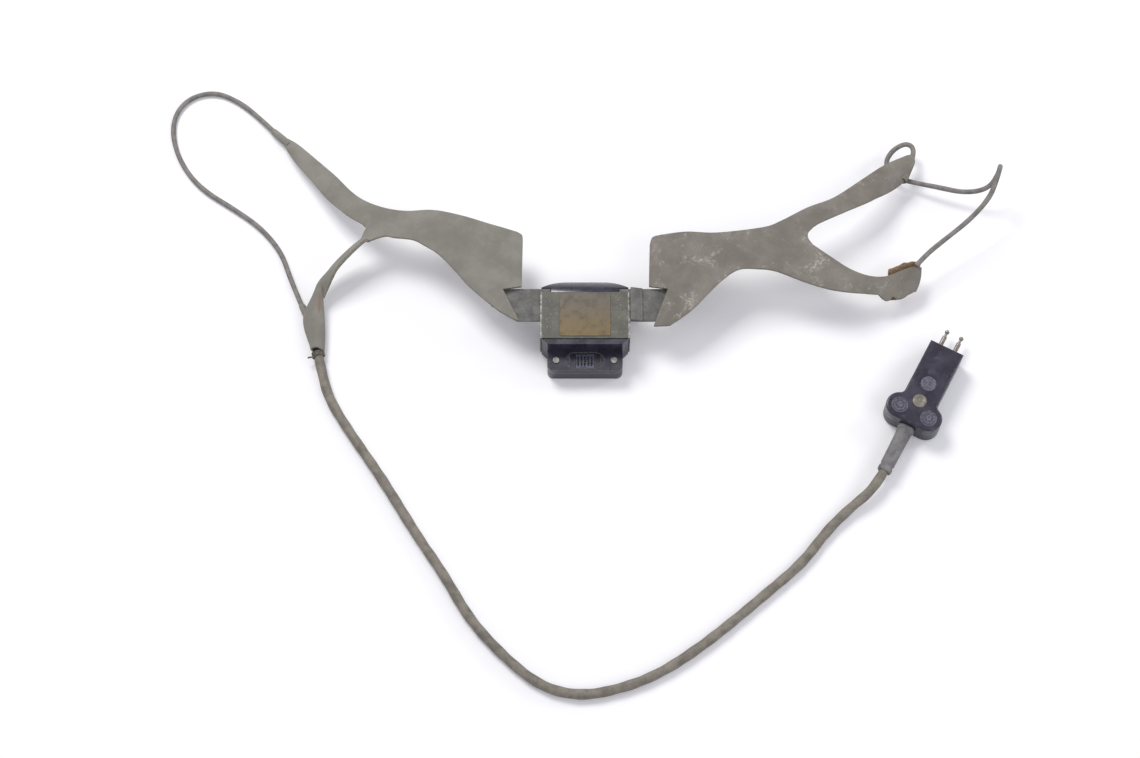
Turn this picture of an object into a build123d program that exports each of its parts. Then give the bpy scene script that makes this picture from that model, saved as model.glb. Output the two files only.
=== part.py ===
from build123d import *
import os
from math import cos, pi, radians, sin, sqrt, tan

# Lip microphone on an ear-loop harness, with its cord and two-pin plug.
# Millimetres. Origin: middle of the microphone's flat rear face, which rests on the table.
# +Z out of the microphone's front, +Y towards its crown, +X along the harness.

# ---------------------------------------------------------------- driving dimensions
CASE_WIDTH = 36.0
CASE_DEPTH = 16.0
CASE_SOUTH = 13.5  # from the origin to the case's lower face
CASE_SHOULDER = 12.3  # from the origin to where the crown's arc begins
CROWN_RISE = 5.0
CROWN_ROUND = 7.8  # radius of the crown's slope, seen from the side
SHOULDER_CHAMFER = 2.6
WALL = 1.5
FRONT_WALL = 2.8
SPLIT_HEIGHT = 5.0
GASKET_THICKNESS = 0.3

TAB_WIDTH = 31.0
TAB_LENGTH = 8.6
TAB_HEIGHT = 9.0
TAB_CORNER = 2.5
TAB_FLOOR = 2.5
GRILLE_WIDTH = 7.0
GRILLE_LENGTH = 5.6
GRILLE_HEIGHT = 1.6
GRILLE_SLOTS = 5
GRILLE_LINE = 0.2  # depth of the two lines across the grille's face
RECESS_WIDTH = 16.0
RECESS_LENGTH = 7.4
RECESS_DEPTH = 0.7
SCREEN_THICKNESS = 0.3
LEDGE = 0.6
RIVET_SPACING = 23.8
RIVET_RADIUS = 1.0
RIVET_HEAD_RADIUS = 1.35
RIVET_HEAD_HEIGHT = 0.5

BAND_THICKNESS = 0.5
BAND_SOUTH = 11.0
BAND_NORTH = 9.8
BAND_FOOT = 2.5  # height of the side flanges' lower edge
BAND_BEND = 0.45  # radius of its bends, outside
LABEL_WIDTH = 20.8
LABEL_LENGTH = 19.0
LABEL_THICKNESS = 0.3
LABEL_CORNER = 0.6

STRAP_WIDTH = 14.5
STRAP_MIDDLE_Y = 4.25
STRAP_THICKNESS = 1.1
STRAP_SINK = 0.1  # from the case's front face down to the strap
STRAP_TUCK = 4.0  # length held under the band
STRAP_TAIL = 5.0  # length hidden under the wing, past the notch
STRAP_GAP = 7.6  # from the band to the wing's inner end
STRAP_SLACK = 0.5  # between the strap's upper edge and the wing
WING_THICKNESS = 1.2
WING_NOTCH = 7.8  # how far the slanted notch cuts into the wing at its deep end
NOTCH_SLANT = 1.5  # drop of the notch's upper edge over its depth
WING_TOE = 1.5  # how far the wing's lower corner is set back
LEFT_CREST = (44.4, 18.2)  # highest point of the left wing's arc: out from its inner end, height
LEFT_TIP = (105.4, 0.6)
RIGHT_CREST = (58.5, 20.0)
RIGHT_TIP = (116.0, 9.0)
RIGHT_CUFF_PLACE = 101.9  # from the wing's inner end
RIGHT_CUFF_LENGTH = 12.6
LEFT_CUFF_HEIGHT = 9.6
LEFT_CUFF_LOW = 5.2
WING_REACH = 100.0  # more than any wing's extent along Y
WING_CREST = 20.0  # more than any wing's height
FABRIC_GAP = 0.3

BUTTON_Y = -0.5
RING_RADIUS = 12.0
RING_WIDTH = 1.8
RING_HEIGHT = 1.5
RIM_WALL = 1.0  # of the case's rim round the ring
SEAT_HEIGHT = 1.5
DIAPHRAGM_THICKNESS = 0.2
DIAPHRAGM_RISE = 1.2
DOME_MARGIN = 0.4  # flat left beside the ring
DOME_SHOULDER = 1.0  # flat left beside the electrode
ELECTRODE_RADIUS = 3.0
ELECTRODE_HEIGHT = 1.2
ELECTRODE_ROUND = 0.3
WASHER_GAP = 0.2  # from the electrode to the felt round it
CUP_GAP = 0.4  # from the electrode to the cup, more than its travel
CUP_RADIUS = 5.0
CUP_WALL = 0.8
CUP_HEIGHT = 2.5
CUP_FLOOR = 0.5
STUD_RADIUS = 1.5
STUD_HEIGHT = 3.7
BRIDGE_HEIGHT = 1.0
BRIDGE_WIDTH = 7.0
BRIDGE_CORNER = 1.5
BRIDGE_SCREW_SPACING = 28.0
NUT_RADIUS = 2.8
NUT_HEIGHT = 1.5
SPRING_THICKNESS = 0.3
SPRING_WIDTH = 2.4
EYE_WALL = 1.0
TERMINAL_X = 9.5
TERMINAL_Y = 10.0
TERMINAL_SHANK = 4.0
BORE_SPARE = 1.0  # a blind hole's depth past its screw
SMALL_SCREW_RADIUS = 0.8
SMALL_HEAD_RADIUS = 1.6
SMALL_HEAD_HEIGHT = 1.0
DRIVE_SLOT_WIDTH = 0.5
DRIVE_SLOT_DEPTH = 0.4
CASE_SCREW_X = 14.3
CASE_SCREW_Y = 8.0
CASE_SCREW_LENGTH = 9.0
POST_RADIUS = 1.9
FIT = 0.05  # running clearance round pins, screws and seated discs

LOOP_DIAMETER = 2.1
CORD_DIAMETER = 4.0
CORD_LIFT = 0.1  # under the cords, above the table
ARC_SHARE = 0.45  # of the shorter run, taken by each arc of a cord
SLEEVE_WALL = 0.9
TIE_LENGTH = 2.0
TIE_THICKNESS = 0.6

PLUG_TURN = 28.4  # plug axis, degrees clockwise from +Y
PLUG_END = (149.15, -12.6)  # middle of the pin face
PLUG_LENGTH = 38.0
PLUG_WIDTH = 14.7
PLUG_THICKNESS = 11.0
LOBE_RADIUS = 5.6
LOBE_SPACING = 12.8
PLUG_WALL = 2.0
PLUG_ROOF = 2.2
PLUG_NOSE = 12.0  # solid length behind the pin face
PLUG_FILLET = 0.8
PLUG_BLEND = 2.5
BLOCK_INSET = 1.0  # from the shells' outside to the pin block
PIN_PITCH = 6.4
PIN_RADIUS = 0.95
PIN_LENGTH = 9.5
NECK_RADIUS = 0.55
NECK_LENGTH = 1.6
NECK_OVERLAP = 0.2  # of the pin's shank into the neck
PIN_CORE = 1.6  # radius of the pins inside the shells
PIN_FLANGE = 2.2
FLANGE_LENGTH = 1.5
LOBE_SCREW_RADIUS = 3.5
LOBE_SCREW_DEPTH = 1.2
CENTRE_SCREW_RADIUS = 2.9
CENTRE_SCREW_BACK = 27.3  # from the pin face
CENTRE_SHANK = 1.2
HEAD_PROUD = 0.2
SCREW_TIP_GAP = 0.4  # from the underside up to the centre screw's tip
NUT_DEPTH = 1.8
NUT_LIFT = 0.2
INSERT_RADIUS = 3.3
INSERT_BACK = 18.6
RELIEF_LENGTH = 22.0
RELIEF_WIDTH = 6.2
RELIEF_HEIGHT = 5.2
RELIEF_CORNER = 2.08
STUB_RADIUS = 2.2
STUB_LENGTH = 4.0
CLAMP_LENGTH = 2.0
CLAMP_HEIGHT = 1.0
CLAMP_GAP = 0.2

os.makedirs("parts", exist_ok=True)

# ---------------------------------------------------------------- places worked out from them
case_half = CASE_WIDTH / 2
crown_peak = CASE_SHOULDER + CROWN_RISE
front_half_foot = SPLIT_HEIGHT + GASKET_THICKNESS
ceiling = CASE_DEPTH - FRONT_WALL
tab_south = CASE_SOUTH + TAB_LENGTH
tab_middle_y = -CASE_SOUTH - TAB_LENGTH / 2
strap_top = CASE_DEPTH - STRAP_SINK
strap_foot = strap_top - STRAP_THICKNESS
band_outer = case_half + BAND_THICKNESS
wing_inner = band_outer + STRAP_GAP
wing_foot = strap_top + FABRIC_GAP
ring_foot = WALL + SEAT_HEIGHT + DIAPHRAGM_THICKNESS
dome_top = ring_foot + DIAPHRAGM_RISE
electrode_top = dome_top + ELECTRODE_HEIGHT
cup_foot = electrode_top + CUP_GAP
bridge_foot = cup_foot + CUP_HEIGHT
bridge_top = bridge_foot + BRIDGE_HEIGHT
nut_top = bridge_top + NUT_HEIGHT


def save(piece, label):
    """Name a finished piece and write it as its own STEP file."""
    piece.part.label = label
    export_step(piece.part, f"parts/{label}.step")


def disc(radius, foot, height, at=(0, 0), hole=0.0, mode=Mode.ADD):
    """Round piece or hole in the open part: a cylinder, or a ring where hole is given."""
    with BuildSketch(Plane.XY.offset(foot)) as plan:
        with Locations(at):
            Circle(radius)
            if hole:
                Circle(hole, mode=Mode.SUBTRACT)
    extrude(plan.sketch, amount=height, mode=mode)


def slab(width, length, foot, height, at=(0, 0), corner=0.0, mode=Mode.ADD):
    """Flat rectangular piece or pocket in the open part, with rounded corners if asked."""
    with BuildSketch(Plane.XY.offset(foot)) as plan:
        with Locations(at):
            if corner:
                RectangleRounded(width, length, corner)
            else:
                Rectangle(width, length)
    extrude(plan.sketch, amount=height, mode=mode)


def case_plan(foot, inset=0.0):
    """Plan of the case without its tab, drawn inwards by inset, at the height foot."""
    with BuildSketch(Plane.XY.offset(foot)) as plan:
        with BuildLine():
            Polyline(
                (case_half, CASE_SHOULDER),
                (case_half, -CASE_SOUTH + SHOULDER_CHAMFER),
                (case_half - SHOULDER_CHAMFER, -CASE_SOUTH),
                (-case_half + SHOULDER_CHAMFER, -CASE_SOUTH),
                (-case_half, -CASE_SOUTH + SHOULDER_CHAMFER),
                (-case_half, CASE_SHOULDER),
            )
            ThreePointArc((-case_half, CASE_SHOULDER), (0, crown_peak), (case_half, CASE_SHOULDER))
        make_face()
        if inset:
            offset(amount=-inset, kind=Kind.INTERSECTION)
    return plan.sketch


def tab_plan(foot, inset=0.0):
    """Plan of the tab, which runs up into the case, drawn inwards by inset."""
    reach = TAB_LENGTH + SHOULDER_CHAMFER + inset
    with BuildSketch(Plane.XY.offset(foot)) as plan:
        with Locations((0, -tab_south + inset + reach / 2)):
            RectangleRounded(TAB_WIDTH - 2 * inset, reach, TAB_CORNER - inset / 2)
    return plan.sketch


def case_prism(foot, height, inset=0.0, mode=Mode.ADD):
    """Case and tab together, from foot upwards, in the open part."""
    extrude(case_plan(foot, inset), amount=height, mode=mode)
    extrude(tab_plan(foot, inset), amount=height, mode=mode)


def side_profile(inset, foot):
    """Side view of the case, with the crown's rounded slope, drawn inwards by inset."""
    top = CASE_DEPTH - inset
    arc_centre = (crown_peak - CROWN_ROUND, CASE_DEPTH - CROWN_ROUND)
    arc_radius = CROWN_ROUND - inset
    bend = arc_radius * sqrt(0.5)
    south = -tab_south - WALL
    north = arc_centre[0] + arc_radius
    with BuildSketch(Plane.YZ) as profile:
        with BuildLine():
            Polyline((arc_centre[0], top), (south, top), (south, foot), (north, foot), (north, arc_centre[1]))
            ThreePointArc(
                (north, arc_centre[1]),
                (arc_centre[0] + bend, arc_centre[1] + bend),
                (arc_centre[0], top),
            )
        make_face()
    return profile.sketch


# ---------------------------------------------------------------- microphone case
grille_at = (0, tab_middle_y)
rivet_places = [(-RIVET_SPACING / 2, tab_middle_y), (RIVET_SPACING / 2, tab_middle_y)]
case_screw_places = [(-CASE_SCREW_X, CASE_SCREW_Y), (CASE_SCREW_X, CASE_SCREW_Y)]
bridge_screw_places = [
    (-BRIDGE_SCREW_SPACING / 2, BUTTON_Y),
    (BRIDGE_SCREW_SPACING / 2, BUTTON_Y),
]
terminal_tops = {(-TERMINAL_X, TERMINAL_Y): nut_top, (TERMINAL_X, TERMINAL_Y): bridge_top}
pocket_side = STRAP_WIDTH + 2 * FABRIC_GAP
pocket_x = case_half - STRAP_TUCK / 2
screen_width = GRILLE_WIDTH + LEDGE
screen_length = GRILLE_LENGTH + LEDGE
window_width = GRILLE_WIDTH - 2 * LEDGE
window_length = GRILLE_LENGTH - 2 * LEDGE

with BuildPart() as rear_case:
    case_prism(0, SPLIT_HEIGHT)
    case_prism(WALL, SPLIT_HEIGHT - WALL, WALL, Mode.SUBTRACT)
    slab(TAB_WIDTH - 2 * WALL, TAB_LENGTH - WALL, 0, TAB_FLOOR, (0, tab_middle_y + WALL / 2))
    disc(RING_RADIUS, WALL, SEAT_HEIGHT, (0, BUTTON_Y), RING_RADIUS - RING_WIDTH)
    rim_height = SEAT_HEIGHT + DIAPHRAGM_THICKNESS + RING_HEIGHT
    disc(RING_RADIUS + FIT + RIM_WALL, WALL, rim_height, (0, BUTTON_Y), RING_RADIUS + FIT)
    for place in bridge_screw_places:
        disc(POST_RADIUS, WALL, bridge_foot - WALL, place)
    disc(RING_RADIUS + FIT, WALL + SEAT_HEIGHT, CASE_DEPTH, (0, BUTTON_Y), mode=Mode.SUBTRACT)
    for place, top in terminal_tops.items():
        disc(SMALL_HEAD_RADIUS, WALL, top - WALL, place)
        bore = TERMINAL_SHANK + BORE_SPARE
        disc(SMALL_SCREW_RADIUS + FIT, top - bore, bore, place, mode=Mode.SUBTRACT)
    for place in bridge_screw_places:
        disc(SMALL_SCREW_RADIUS + FIT, WALL + BORE_SPARE, bridge_foot, place, mode=Mode.SUBTRACT)
    for place in case_screw_places:
        disc(POST_RADIUS, WALL, SPLIT_HEIGHT - WALL, place)
        disc(SMALL_SCREW_RADIUS + FIT, 0, SPLIT_HEIGHT, place, mode=Mode.SUBTRACT)
        disc(SMALL_HEAD_RADIUS + FIT, 0, SMALL_HEAD_HEIGHT + FIT, place, mode=Mode.SUBTRACT)
    for place in rivet_places:
        disc(POST_RADIUS, WALL, SPLIT_HEIGHT - WALL, place)
        disc(RIVET_RADIUS + FIT, 0, SPLIT_HEIGHT, place, mode=Mode.SUBTRACT)
        disc(RIVET_HEAD_RADIUS + FIT, 0, RIVET_HEAD_HEIGHT + FIT, place, mode=Mode.SUBTRACT)
    slab(screen_width, screen_length, 0, GRILLE_HEIGHT + SCREEN_THICKNESS, grille_at, mode=Mode.SUBTRACT)
    slab(window_width, window_length, 0, SPLIT_HEIGHT, grille_at, mode=Mode.SUBTRACT)
save(rear_case, "rear_case")

with BuildPart() as case_gasket:
    case_prism(SPLIT_HEIGHT, GASKET_THICKNESS, FIT)
    case_prism(SPLIT_HEIGHT, GASKET_THICKNESS, WALL, Mode.SUBTRACT)
save(case_gasket, "case_gasket")

with BuildPart() as cavity:
    extrude(case_plan(front_half_foot, WALL), amount=ceiling - front_half_foot)
    extrude(side_profile(FRONT_WALL, front_half_foot), amount=case_half, both=True, mode=Mode.INTERSECT)

front_grille_foot = TAB_HEIGHT - RECESS_DEPTH - GRILLE_HEIGHT
with BuildPart() as front_case:
    extrude(case_plan(front_half_foot), amount=CASE_DEPTH - front_half_foot)
    extrude(side_profile(0, front_half_foot), amount=case_half, both=True, mode=Mode.INTERSECT)
    extrude(tab_plan(front_half_foot), amount=TAB_HEIGHT - front_half_foot)
    add(cavity.part, mode=Mode.SUBTRACT)
    tab_hollow = front_grille_foot - SCREEN_THICKNESS - LEDGE - front_half_foot
    extrude(tab_plan(front_half_foot, WALL), amount=tab_hollow, mode=Mode.SUBTRACT)
    for place in case_screw_places:
        disc(POST_RADIUS, front_half_foot, ceiling - front_half_foot, place)
        disc(SMALL_SCREW_RADIUS + FIT, front_half_foot, CASE_SCREW_LENGTH - front_half_foot, place,
             mode=Mode.SUBTRACT)
    for place in rivet_places:
        disc(POST_RADIUS, front_half_foot, TAB_HEIGHT - front_half_foot, place)
        disc(RIVET_RADIUS + FIT, front_half_foot, TAB_HEIGHT, place, mode=Mode.SUBTRACT)
    with BuildSketch(Plane.XY.offset(TAB_HEIGHT - RECESS_DEPTH)):
        with Locations(grille_at):
            SlotOverall(RECESS_WIDTH, RECESS_LENGTH)
    extrude(amount=RECESS_DEPTH, mode=Mode.SUBTRACT)
    slab(screen_width, screen_length, front_grille_foot - SCREEN_THICKNESS,
         GRILLE_HEIGHT + SCREEN_THICKNESS, grille_at, mode=Mode.SUBTRACT)
    slab(window_width, window_length, front_half_foot, TAB_HEIGHT, grille_at, mode=Mode.SUBTRACT)
    for side in (-1, 1):
        slab(STRAP_TUCK, pocket_side, strap_foot - FIT, CASE_DEPTH, (side * pocket_x, STRAP_MIDDLE_Y),
             mode=Mode.SUBTRACT)
save(front_case, "front_case")


def grille(foot, face, label):
    """Ribbed grille block between foot and foot plus its height, slotted right through."""
    slot = screen_width / (2 * GRILLE_SLOTS + 1)
    with BuildPart() as block:
        slab(screen_width - 2 * FIT, screen_length - 2 * FIT, foot, GRILLE_HEIGHT, grille_at)
        with BuildSketch(Plane.XY.offset(foot)):
            with Locations(grille_at):
                with GridLocations(2 * slot, 0, GRILLE_SLOTS, 1):
                    Rectangle(slot, window_length)
        extrude(amount=GRILLE_HEIGHT, mode=Mode.SUBTRACT)
        with BuildSketch(Plane.XY.offset(face)):
            with Locations(grille_at):
                with GridLocations(0, window_length / 2, 1, 2):
                    Rectangle(screen_width - 2 * FIT, slot / 2)
        extrude(amount=GRILLE_LINE, mode=Mode.SUBTRACT)
    save(block, label)


def screen(foot, label):
    """Woven moisture screen behind a grille."""
    with BuildPart() as cloth:
        slab(screen_width - 2 * FIT, screen_length - 2 * FIT, foot, SCREEN_THICKNESS, grille_at)
    save(cloth, label)


grille(front_grille_foot, front_grille_foot + GRILLE_HEIGHT - GRILLE_LINE, "front_grille")
grille(0, 0, "rear_grille")
screen(front_grille_foot - SCREEN_THICKNESS, "front_screen")
screen(GRILLE_HEIGHT, "rear_screen")

with BuildPart() as tab_rivets:
    for place in rivet_places:
        disc(RIVET_RADIUS, 0, TAB_HEIGHT, place)
        disc(RIVET_HEAD_RADIUS, 0, RIVET_HEAD_HEIGHT, place)
        disc(RIVET_HEAD_RADIUS, TAB_HEIGHT, RIVET_HEAD_HEIGHT, place)
save(tab_rivets, "tab_rivets")

with BuildPart() as case_screws:
    for place in case_screw_places:
        disc(SMALL_HEAD_RADIUS, 0, SMALL_HEAD_HEIGHT, place)
        disc(SMALL_SCREW_RADIUS, 0, CASE_SCREW_LENGTH - FIT, place)
        slab(2 * SMALL_HEAD_RADIUS, DRIVE_SLOT_WIDTH, 0, DRIVE_SLOT_DEPTH, place, mode=Mode.SUBTRACT)
save(case_screws, "case_screws")

# ---------------------------------------------------------------- band and label
band_length = BAND_SOUTH + BAND_NORTH
band_middle_y = (BAND_NORTH - BAND_SOUTH) / 2
band_top = CASE_DEPTH + BAND_THICKNESS
with BuildPart() as retaining_band:
    with BuildSketch(Plane.XZ.offset(-band_middle_y)):
        with BuildLine():
            Polyline(
                (-band_outer, BAND_FOOT),
                (-band_outer, band_top),
                (band_outer, band_top),
                (band_outer, BAND_FOOT),
                (case_half, BAND_FOOT),
                (case_half, CASE_DEPTH),
                (-case_half, CASE_DEPTH),
                (-case_half, BAND_FOOT),
                (-band_outer, BAND_FOOT),
            )
        make_face()
    extrude(amount=band_length / 2, both=True)
    fillet(retaining_band.edges().filter_by(Axis.Y).group_by(Axis.Z)[-1], BAND_BEND)
    for side in (-1, 1):
        slab(2 * BAND_THICKNESS, pocket_side, strap_foot - FIT, CASE_DEPTH - strap_foot + FIT,
             (side * band_outer, STRAP_MIDDLE_Y), mode=Mode.SUBTRACT)
save(retaining_band, "retaining_band")

with BuildPart() as label_plate:
    slab(LABEL_WIDTH, LABEL_LENGTH, band_top, LABEL_THICKNESS, (0, band_middle_y), LABEL_CORNER)
save(label_plate, "label_plate")

# ---------------------------------------------------------------- carbon button inside the case
diaphragm_foot = WALL + SEAT_HEIGHT
dome_edge = RING_RADIUS - RING_WIDTH - DOME_MARGIN
dome_flat = ELECTRODE_RADIUS + DOME_SHOULDER
with BuildPart() as diaphragm:
    with BuildSketch(Plane.XZ.offset(-BUTTON_Y)):
        with BuildLine():
            Polyline(
                (0, dome_top - DIAPHRAGM_THICKNESS),
                (dome_flat, dome_top - DIAPHRAGM_THICKNESS),
                (dome_edge, diaphragm_foot),
                (RING_RADIUS, diaphragm_foot),
                (RING_RADIUS, ring_foot),
                (dome_edge, ring_foot),
                (dome_flat, dome_top),
                (0, dome_top),
                (0, dome_top - DIAPHRAGM_THICKNESS),
            )
        make_face()
    revolve(axis=Axis((0, BUTTON_Y, 0), (0, 0, 1)))
save(diaphragm, "diaphragm")

with BuildPart() as diaphragm_ring:
    disc(RING_RADIUS, ring_foot, RING_HEIGHT, (0, BUTTON_Y), RING_RADIUS - RING_WIDTH)
save(diaphragm_ring, "diaphragm_ring")

with BuildPart() as front_electrode:
    disc(ELECTRODE_RADIUS, dome_top, ELECTRODE_HEIGHT, (0, BUTTON_Y))
    fillet(front_electrode.edges().group_by(Axis.Z)[-1], ELECTRODE_ROUND)
save(front_electrode, "front_electrode")

washer_foot = dome_top + FIT
with BuildPart() as felt_washer:
    disc(CUP_RADIUS, washer_foot, cup_foot - washer_foot - FIT, (0, BUTTON_Y),
         ELECTRODE_RADIUS + WASHER_GAP)
save(felt_washer, "felt_washer")

chamber_top = bridge_foot - CUP_FLOOR
with BuildPart() as carbon_cup:
    disc(CUP_RADIUS, cup_foot, CUP_HEIGHT, (0, BUTTON_Y))
    disc(CUP_RADIUS - CUP_WALL, cup_foot, chamber_top - cup_foot, (0, BUTTON_Y), mode=Mode.SUBTRACT)
    disc(STUD_RADIUS, bridge_foot, STUD_HEIGHT, (0, BUTTON_Y))
save(carbon_cup, "carbon_cup")

with BuildPart() as carbon_granules:
    disc(CUP_RADIUS - CUP_WALL - FIT, cup_foot, chamber_top - cup_foot - FIT, (0, BUTTON_Y))
save(carbon_granules, "carbon_granules")

with BuildPart() as button_bridge:
    slab(BRIDGE_SCREW_SPACING + 2 * SMALL_HEAD_RADIUS, BRIDGE_WIDTH, bridge_foot, BRIDGE_HEIGHT,
         (0, BUTTON_Y), BRIDGE_CORNER)
    disc(STUD_RADIUS + FIT, bridge_foot, BRIDGE_HEIGHT, (0, BUTTON_Y), mode=Mode.SUBTRACT)
    for place in bridge_screw_places:
        disc(SMALL_SCREW_RADIUS + FIT, bridge_foot, BRIDGE_HEIGHT, place, mode=Mode.SUBTRACT)
save(button_bridge, "button_bridge")

with BuildPart() as cup_nut:
    with BuildSketch(Plane.XY.offset(bridge_top)):
        with Locations((0, BUTTON_Y)):
            RegularPolygon(NUT_RADIUS, 6)
            Circle(STUD_RADIUS + FIT, mode=Mode.SUBTRACT)
    extrude(amount=NUT_HEIGHT)
save(cup_nut, "cup_nut")

# Each spring is a flat strip with an eye at both ends: terminal to stud, terminal to bridge screw.
spring_ends = {
    (-TERMINAL_X, TERMINAL_Y): ((0, BUTTON_Y), STUD_RADIUS),
    (TERMINAL_X, TERMINAL_Y): (bridge_screw_places[1], SMALL_SCREW_RADIUS),
}
with BuildPart() as contact_springs:
    for place, (far_end, far_hole) in spring_ends.items():
        with BuildSketch(Plane.XY.offset(terminal_tops[place])):
            with BuildLine():
                Line(place, far_end)
            trace(line_width=SPRING_WIDTH)
            with Locations(place):
                Circle(SMALL_HEAD_RADIUS)
                Circle(SMALL_SCREW_RADIUS + FIT, mode=Mode.SUBTRACT)
            with Locations(far_end):
                Circle(far_hole + EYE_WALL)
                Circle(far_hole + FIT, mode=Mode.SUBTRACT)
        extrude(amount=SPRING_THICKNESS)
save(contact_springs, "contact_springs")

with BuildPart() as terminal_screws:
    for place, top in terminal_tops.items():
        disc(SMALL_HEAD_RADIUS, top + SPRING_THICKNESS, SMALL_HEAD_HEIGHT, place)
        disc(SMALL_SCREW_RADIUS, top - TERMINAL_SHANK, TERMINAL_SHANK + SPRING_THICKNESS, place)
save(terminal_screws, "terminal_screws")

bridge_screw_foot = WALL + 2 * BORE_SPARE
with BuildPart() as bridge_screws:
    for place, lift in zip(bridge_screw_places, (0, SPRING_THICKNESS)):
        disc(SMALL_HEAD_RADIUS, bridge_top + lift, SMALL_HEAD_HEIGHT, place)
        disc(SMALL_SCREW_RADIUS, bridge_screw_foot, bridge_top + lift - bridge_screw_foot, place)
save(bridge_screws, "bridge_screws")


# ---------------------------------------------------------------- straps
def strap(side, label):
    """Webbing strap: tucked under the band at its inner end, under the wing at its outer end."""
    inner = case_half - STRAP_TUCK + FABRIC_GAP
    outer = wing_inner + STRAP_TAIL + WING_NOTCH
    with BuildPart() as webbing:
        slab(outer - inner, STRAP_WIDTH, strap_foot, STRAP_THICKNESS,
             (side * (inner + outer) / 2, STRAP_MIDDLE_Y))
    save(webbing, label)


strap(-1, "left_strap")
strap(1, "right_strap")

# ---------------------------------------------------------------- wings
# Each wing is a thin sheet arched over the table, cut to its forked outline. The outlines start at
# the wing's inner end, and their x runs outwards from there.
notch_top = STRAP_MIDDLE_Y + STRAP_WIDTH / 2 + STRAP_SLACK
notch_foot = STRAP_MIDDLE_Y - STRAP_WIDTH / 2


def arched_sheet(side, crest, tip):
    """One wing's sheet: an arc from the strap over the crest to the tip, carried along Y."""
    arc = [(side * (wing_inner + x), z) for x, z in ((0, wing_foot), crest, tip)]
    with BuildSketch(Plane.XZ) as profile:
        with BuildLine():
            low = ThreePointArc(*arc)
            high = ThreePointArc(*[(x, z + WING_THICKNESS) for x, z in arc])
            Line(low @ 0, high @ 0)
            Line(low @ 1, high @ 1)
        make_face()
    extrude(profile.sketch, amount=WING_REACH, both=True)


def placed(side, points):
    """Points of an outline, carried from the wing's inner end to the harness."""
    return [(side * (wing_inner + x), y) for x, y in points]


def inner_edge(side, top, foot):
    """Inner end of a wing: the straight edge above the strap and the slanted notch over it."""
    notch = [(0, notch_top), (WING_NOTCH, notch_top - NOTCH_SLANT), (WING_TOE, notch_foot)]
    return placed(side, [top, *notch, foot])


left_upper = [(WING_TOE, 36.5), (27, 43.7), (48, 45.8), (66, 51.5), (80, 66.4), (97, 85.2), (103.0, 89.6)]
left_fork = [(104.4, 87.0), (99, 77.6), (83, 55.8), (75, 47.6), (65.4, 40.5)]
left_outer = [(65.4, 40.5), (70.8, 35.5), (76.6, 29.5), (82.5, 21.5), (86.4, 15.0), (84.0, 11.0)]
left_inner = [(84.0, 11.0), (83.4, 14.0), (80.2, 20.5), (74.0, 27.5), (67.5, 33.5), (60.5, 36.0)]
left_lower = [(60.5, 36.0), (46, 32.8), (34, 25.0), (22, 11.0), (11, 0.9), (WING_TOE, notch_foot - 1.3)]

with BuildPart() as left_wing:
    arched_sheet(-1, LEFT_CREST, LEFT_TIP)
    with BuildSketch():
        with BuildLine():
            Polyline(*inner_edge(-1, left_upper[0], left_lower[-1]))
            Spline(*placed(-1, left_upper))
            Line(*placed(-1, (left_upper[-1], left_fork[0])))
            Spline(*placed(-1, left_fork))
            Spline(*placed(-1, left_outer))
            Spline(*placed(-1, left_inner))
            Spline(*placed(-1, left_lower))
        make_face()
    extrude(amount=WING_CREST + 2 * WING_THICKNESS, mode=Mode.INTERSECT)
save(left_wing, "left_wing")

right_upper = [(1.0, 33.0), (15, 36.0), (30, 35.4), (48, 37.2), (67, 47.1), (90, 61.2), (111.5, 76.4)]
right_tip = [(111.5, 76.4), (114.6, 75.7), (113.0, 69.7)]
right_fork = [(113.0, 69.7), (97, 54.0), (83, 46.3), (72, 40.0), (67, 33.5), (71, 27.6), (83, 20.3),
              (93, 17.6), (101.5, 19.0)]
right_lower = [(101.5, 7.2), (84, 7.6), (68, 11.5), (53, 17.4), (40, 18.3), (30.5, 13.5), (19, 1.3),
               (8.5, notch_foot - 2.4), (WING_TOE, notch_foot - 2.7)]

with BuildPart() as right_wing:
    arched_sheet(1, RIGHT_CREST, RIGHT_TIP)
    with BuildSketch():
        with BuildLine():
            Polyline(*inner_edge(1, right_upper[0], right_lower[-1]))
            Spline(*placed(1, right_upper))
            ThreePointArc(*placed(1, right_tip))
            Spline(*placed(1, right_fork))
            Line(*placed(1, (right_fork[-1], right_lower[0])))
            Spline(*placed(1, right_lower))
        make_face()
    extrude(amount=WING_CREST + 2 * WING_THICKNESS, mode=Mode.INTERSECT)
save(right_wing, "right_wing")

# ---------------------------------------------------------------- branch ends and cords
# Sleeves and cuffs are placed from the wings' inner ends; the cords' routes are chosen points.
left_sleeve = ((-wing_inner - 104.5, 89.3, 2.2), (-wing_inner - 109.3, 94.2, 2.0))
right_sleeve = ((wing_inner + 109.1, 66.0, 8.4), (wing_inner + 114.5, 77.6, 7.0))
sleeve_radius = LOOP_DIAMETER / 2 + SLEEVE_WALL
loop_lie = LOOP_DIAMETER / 2 + CORD_LIFT
cord_lie = CORD_DIAMETER / 2 + CORD_LIFT

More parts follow.
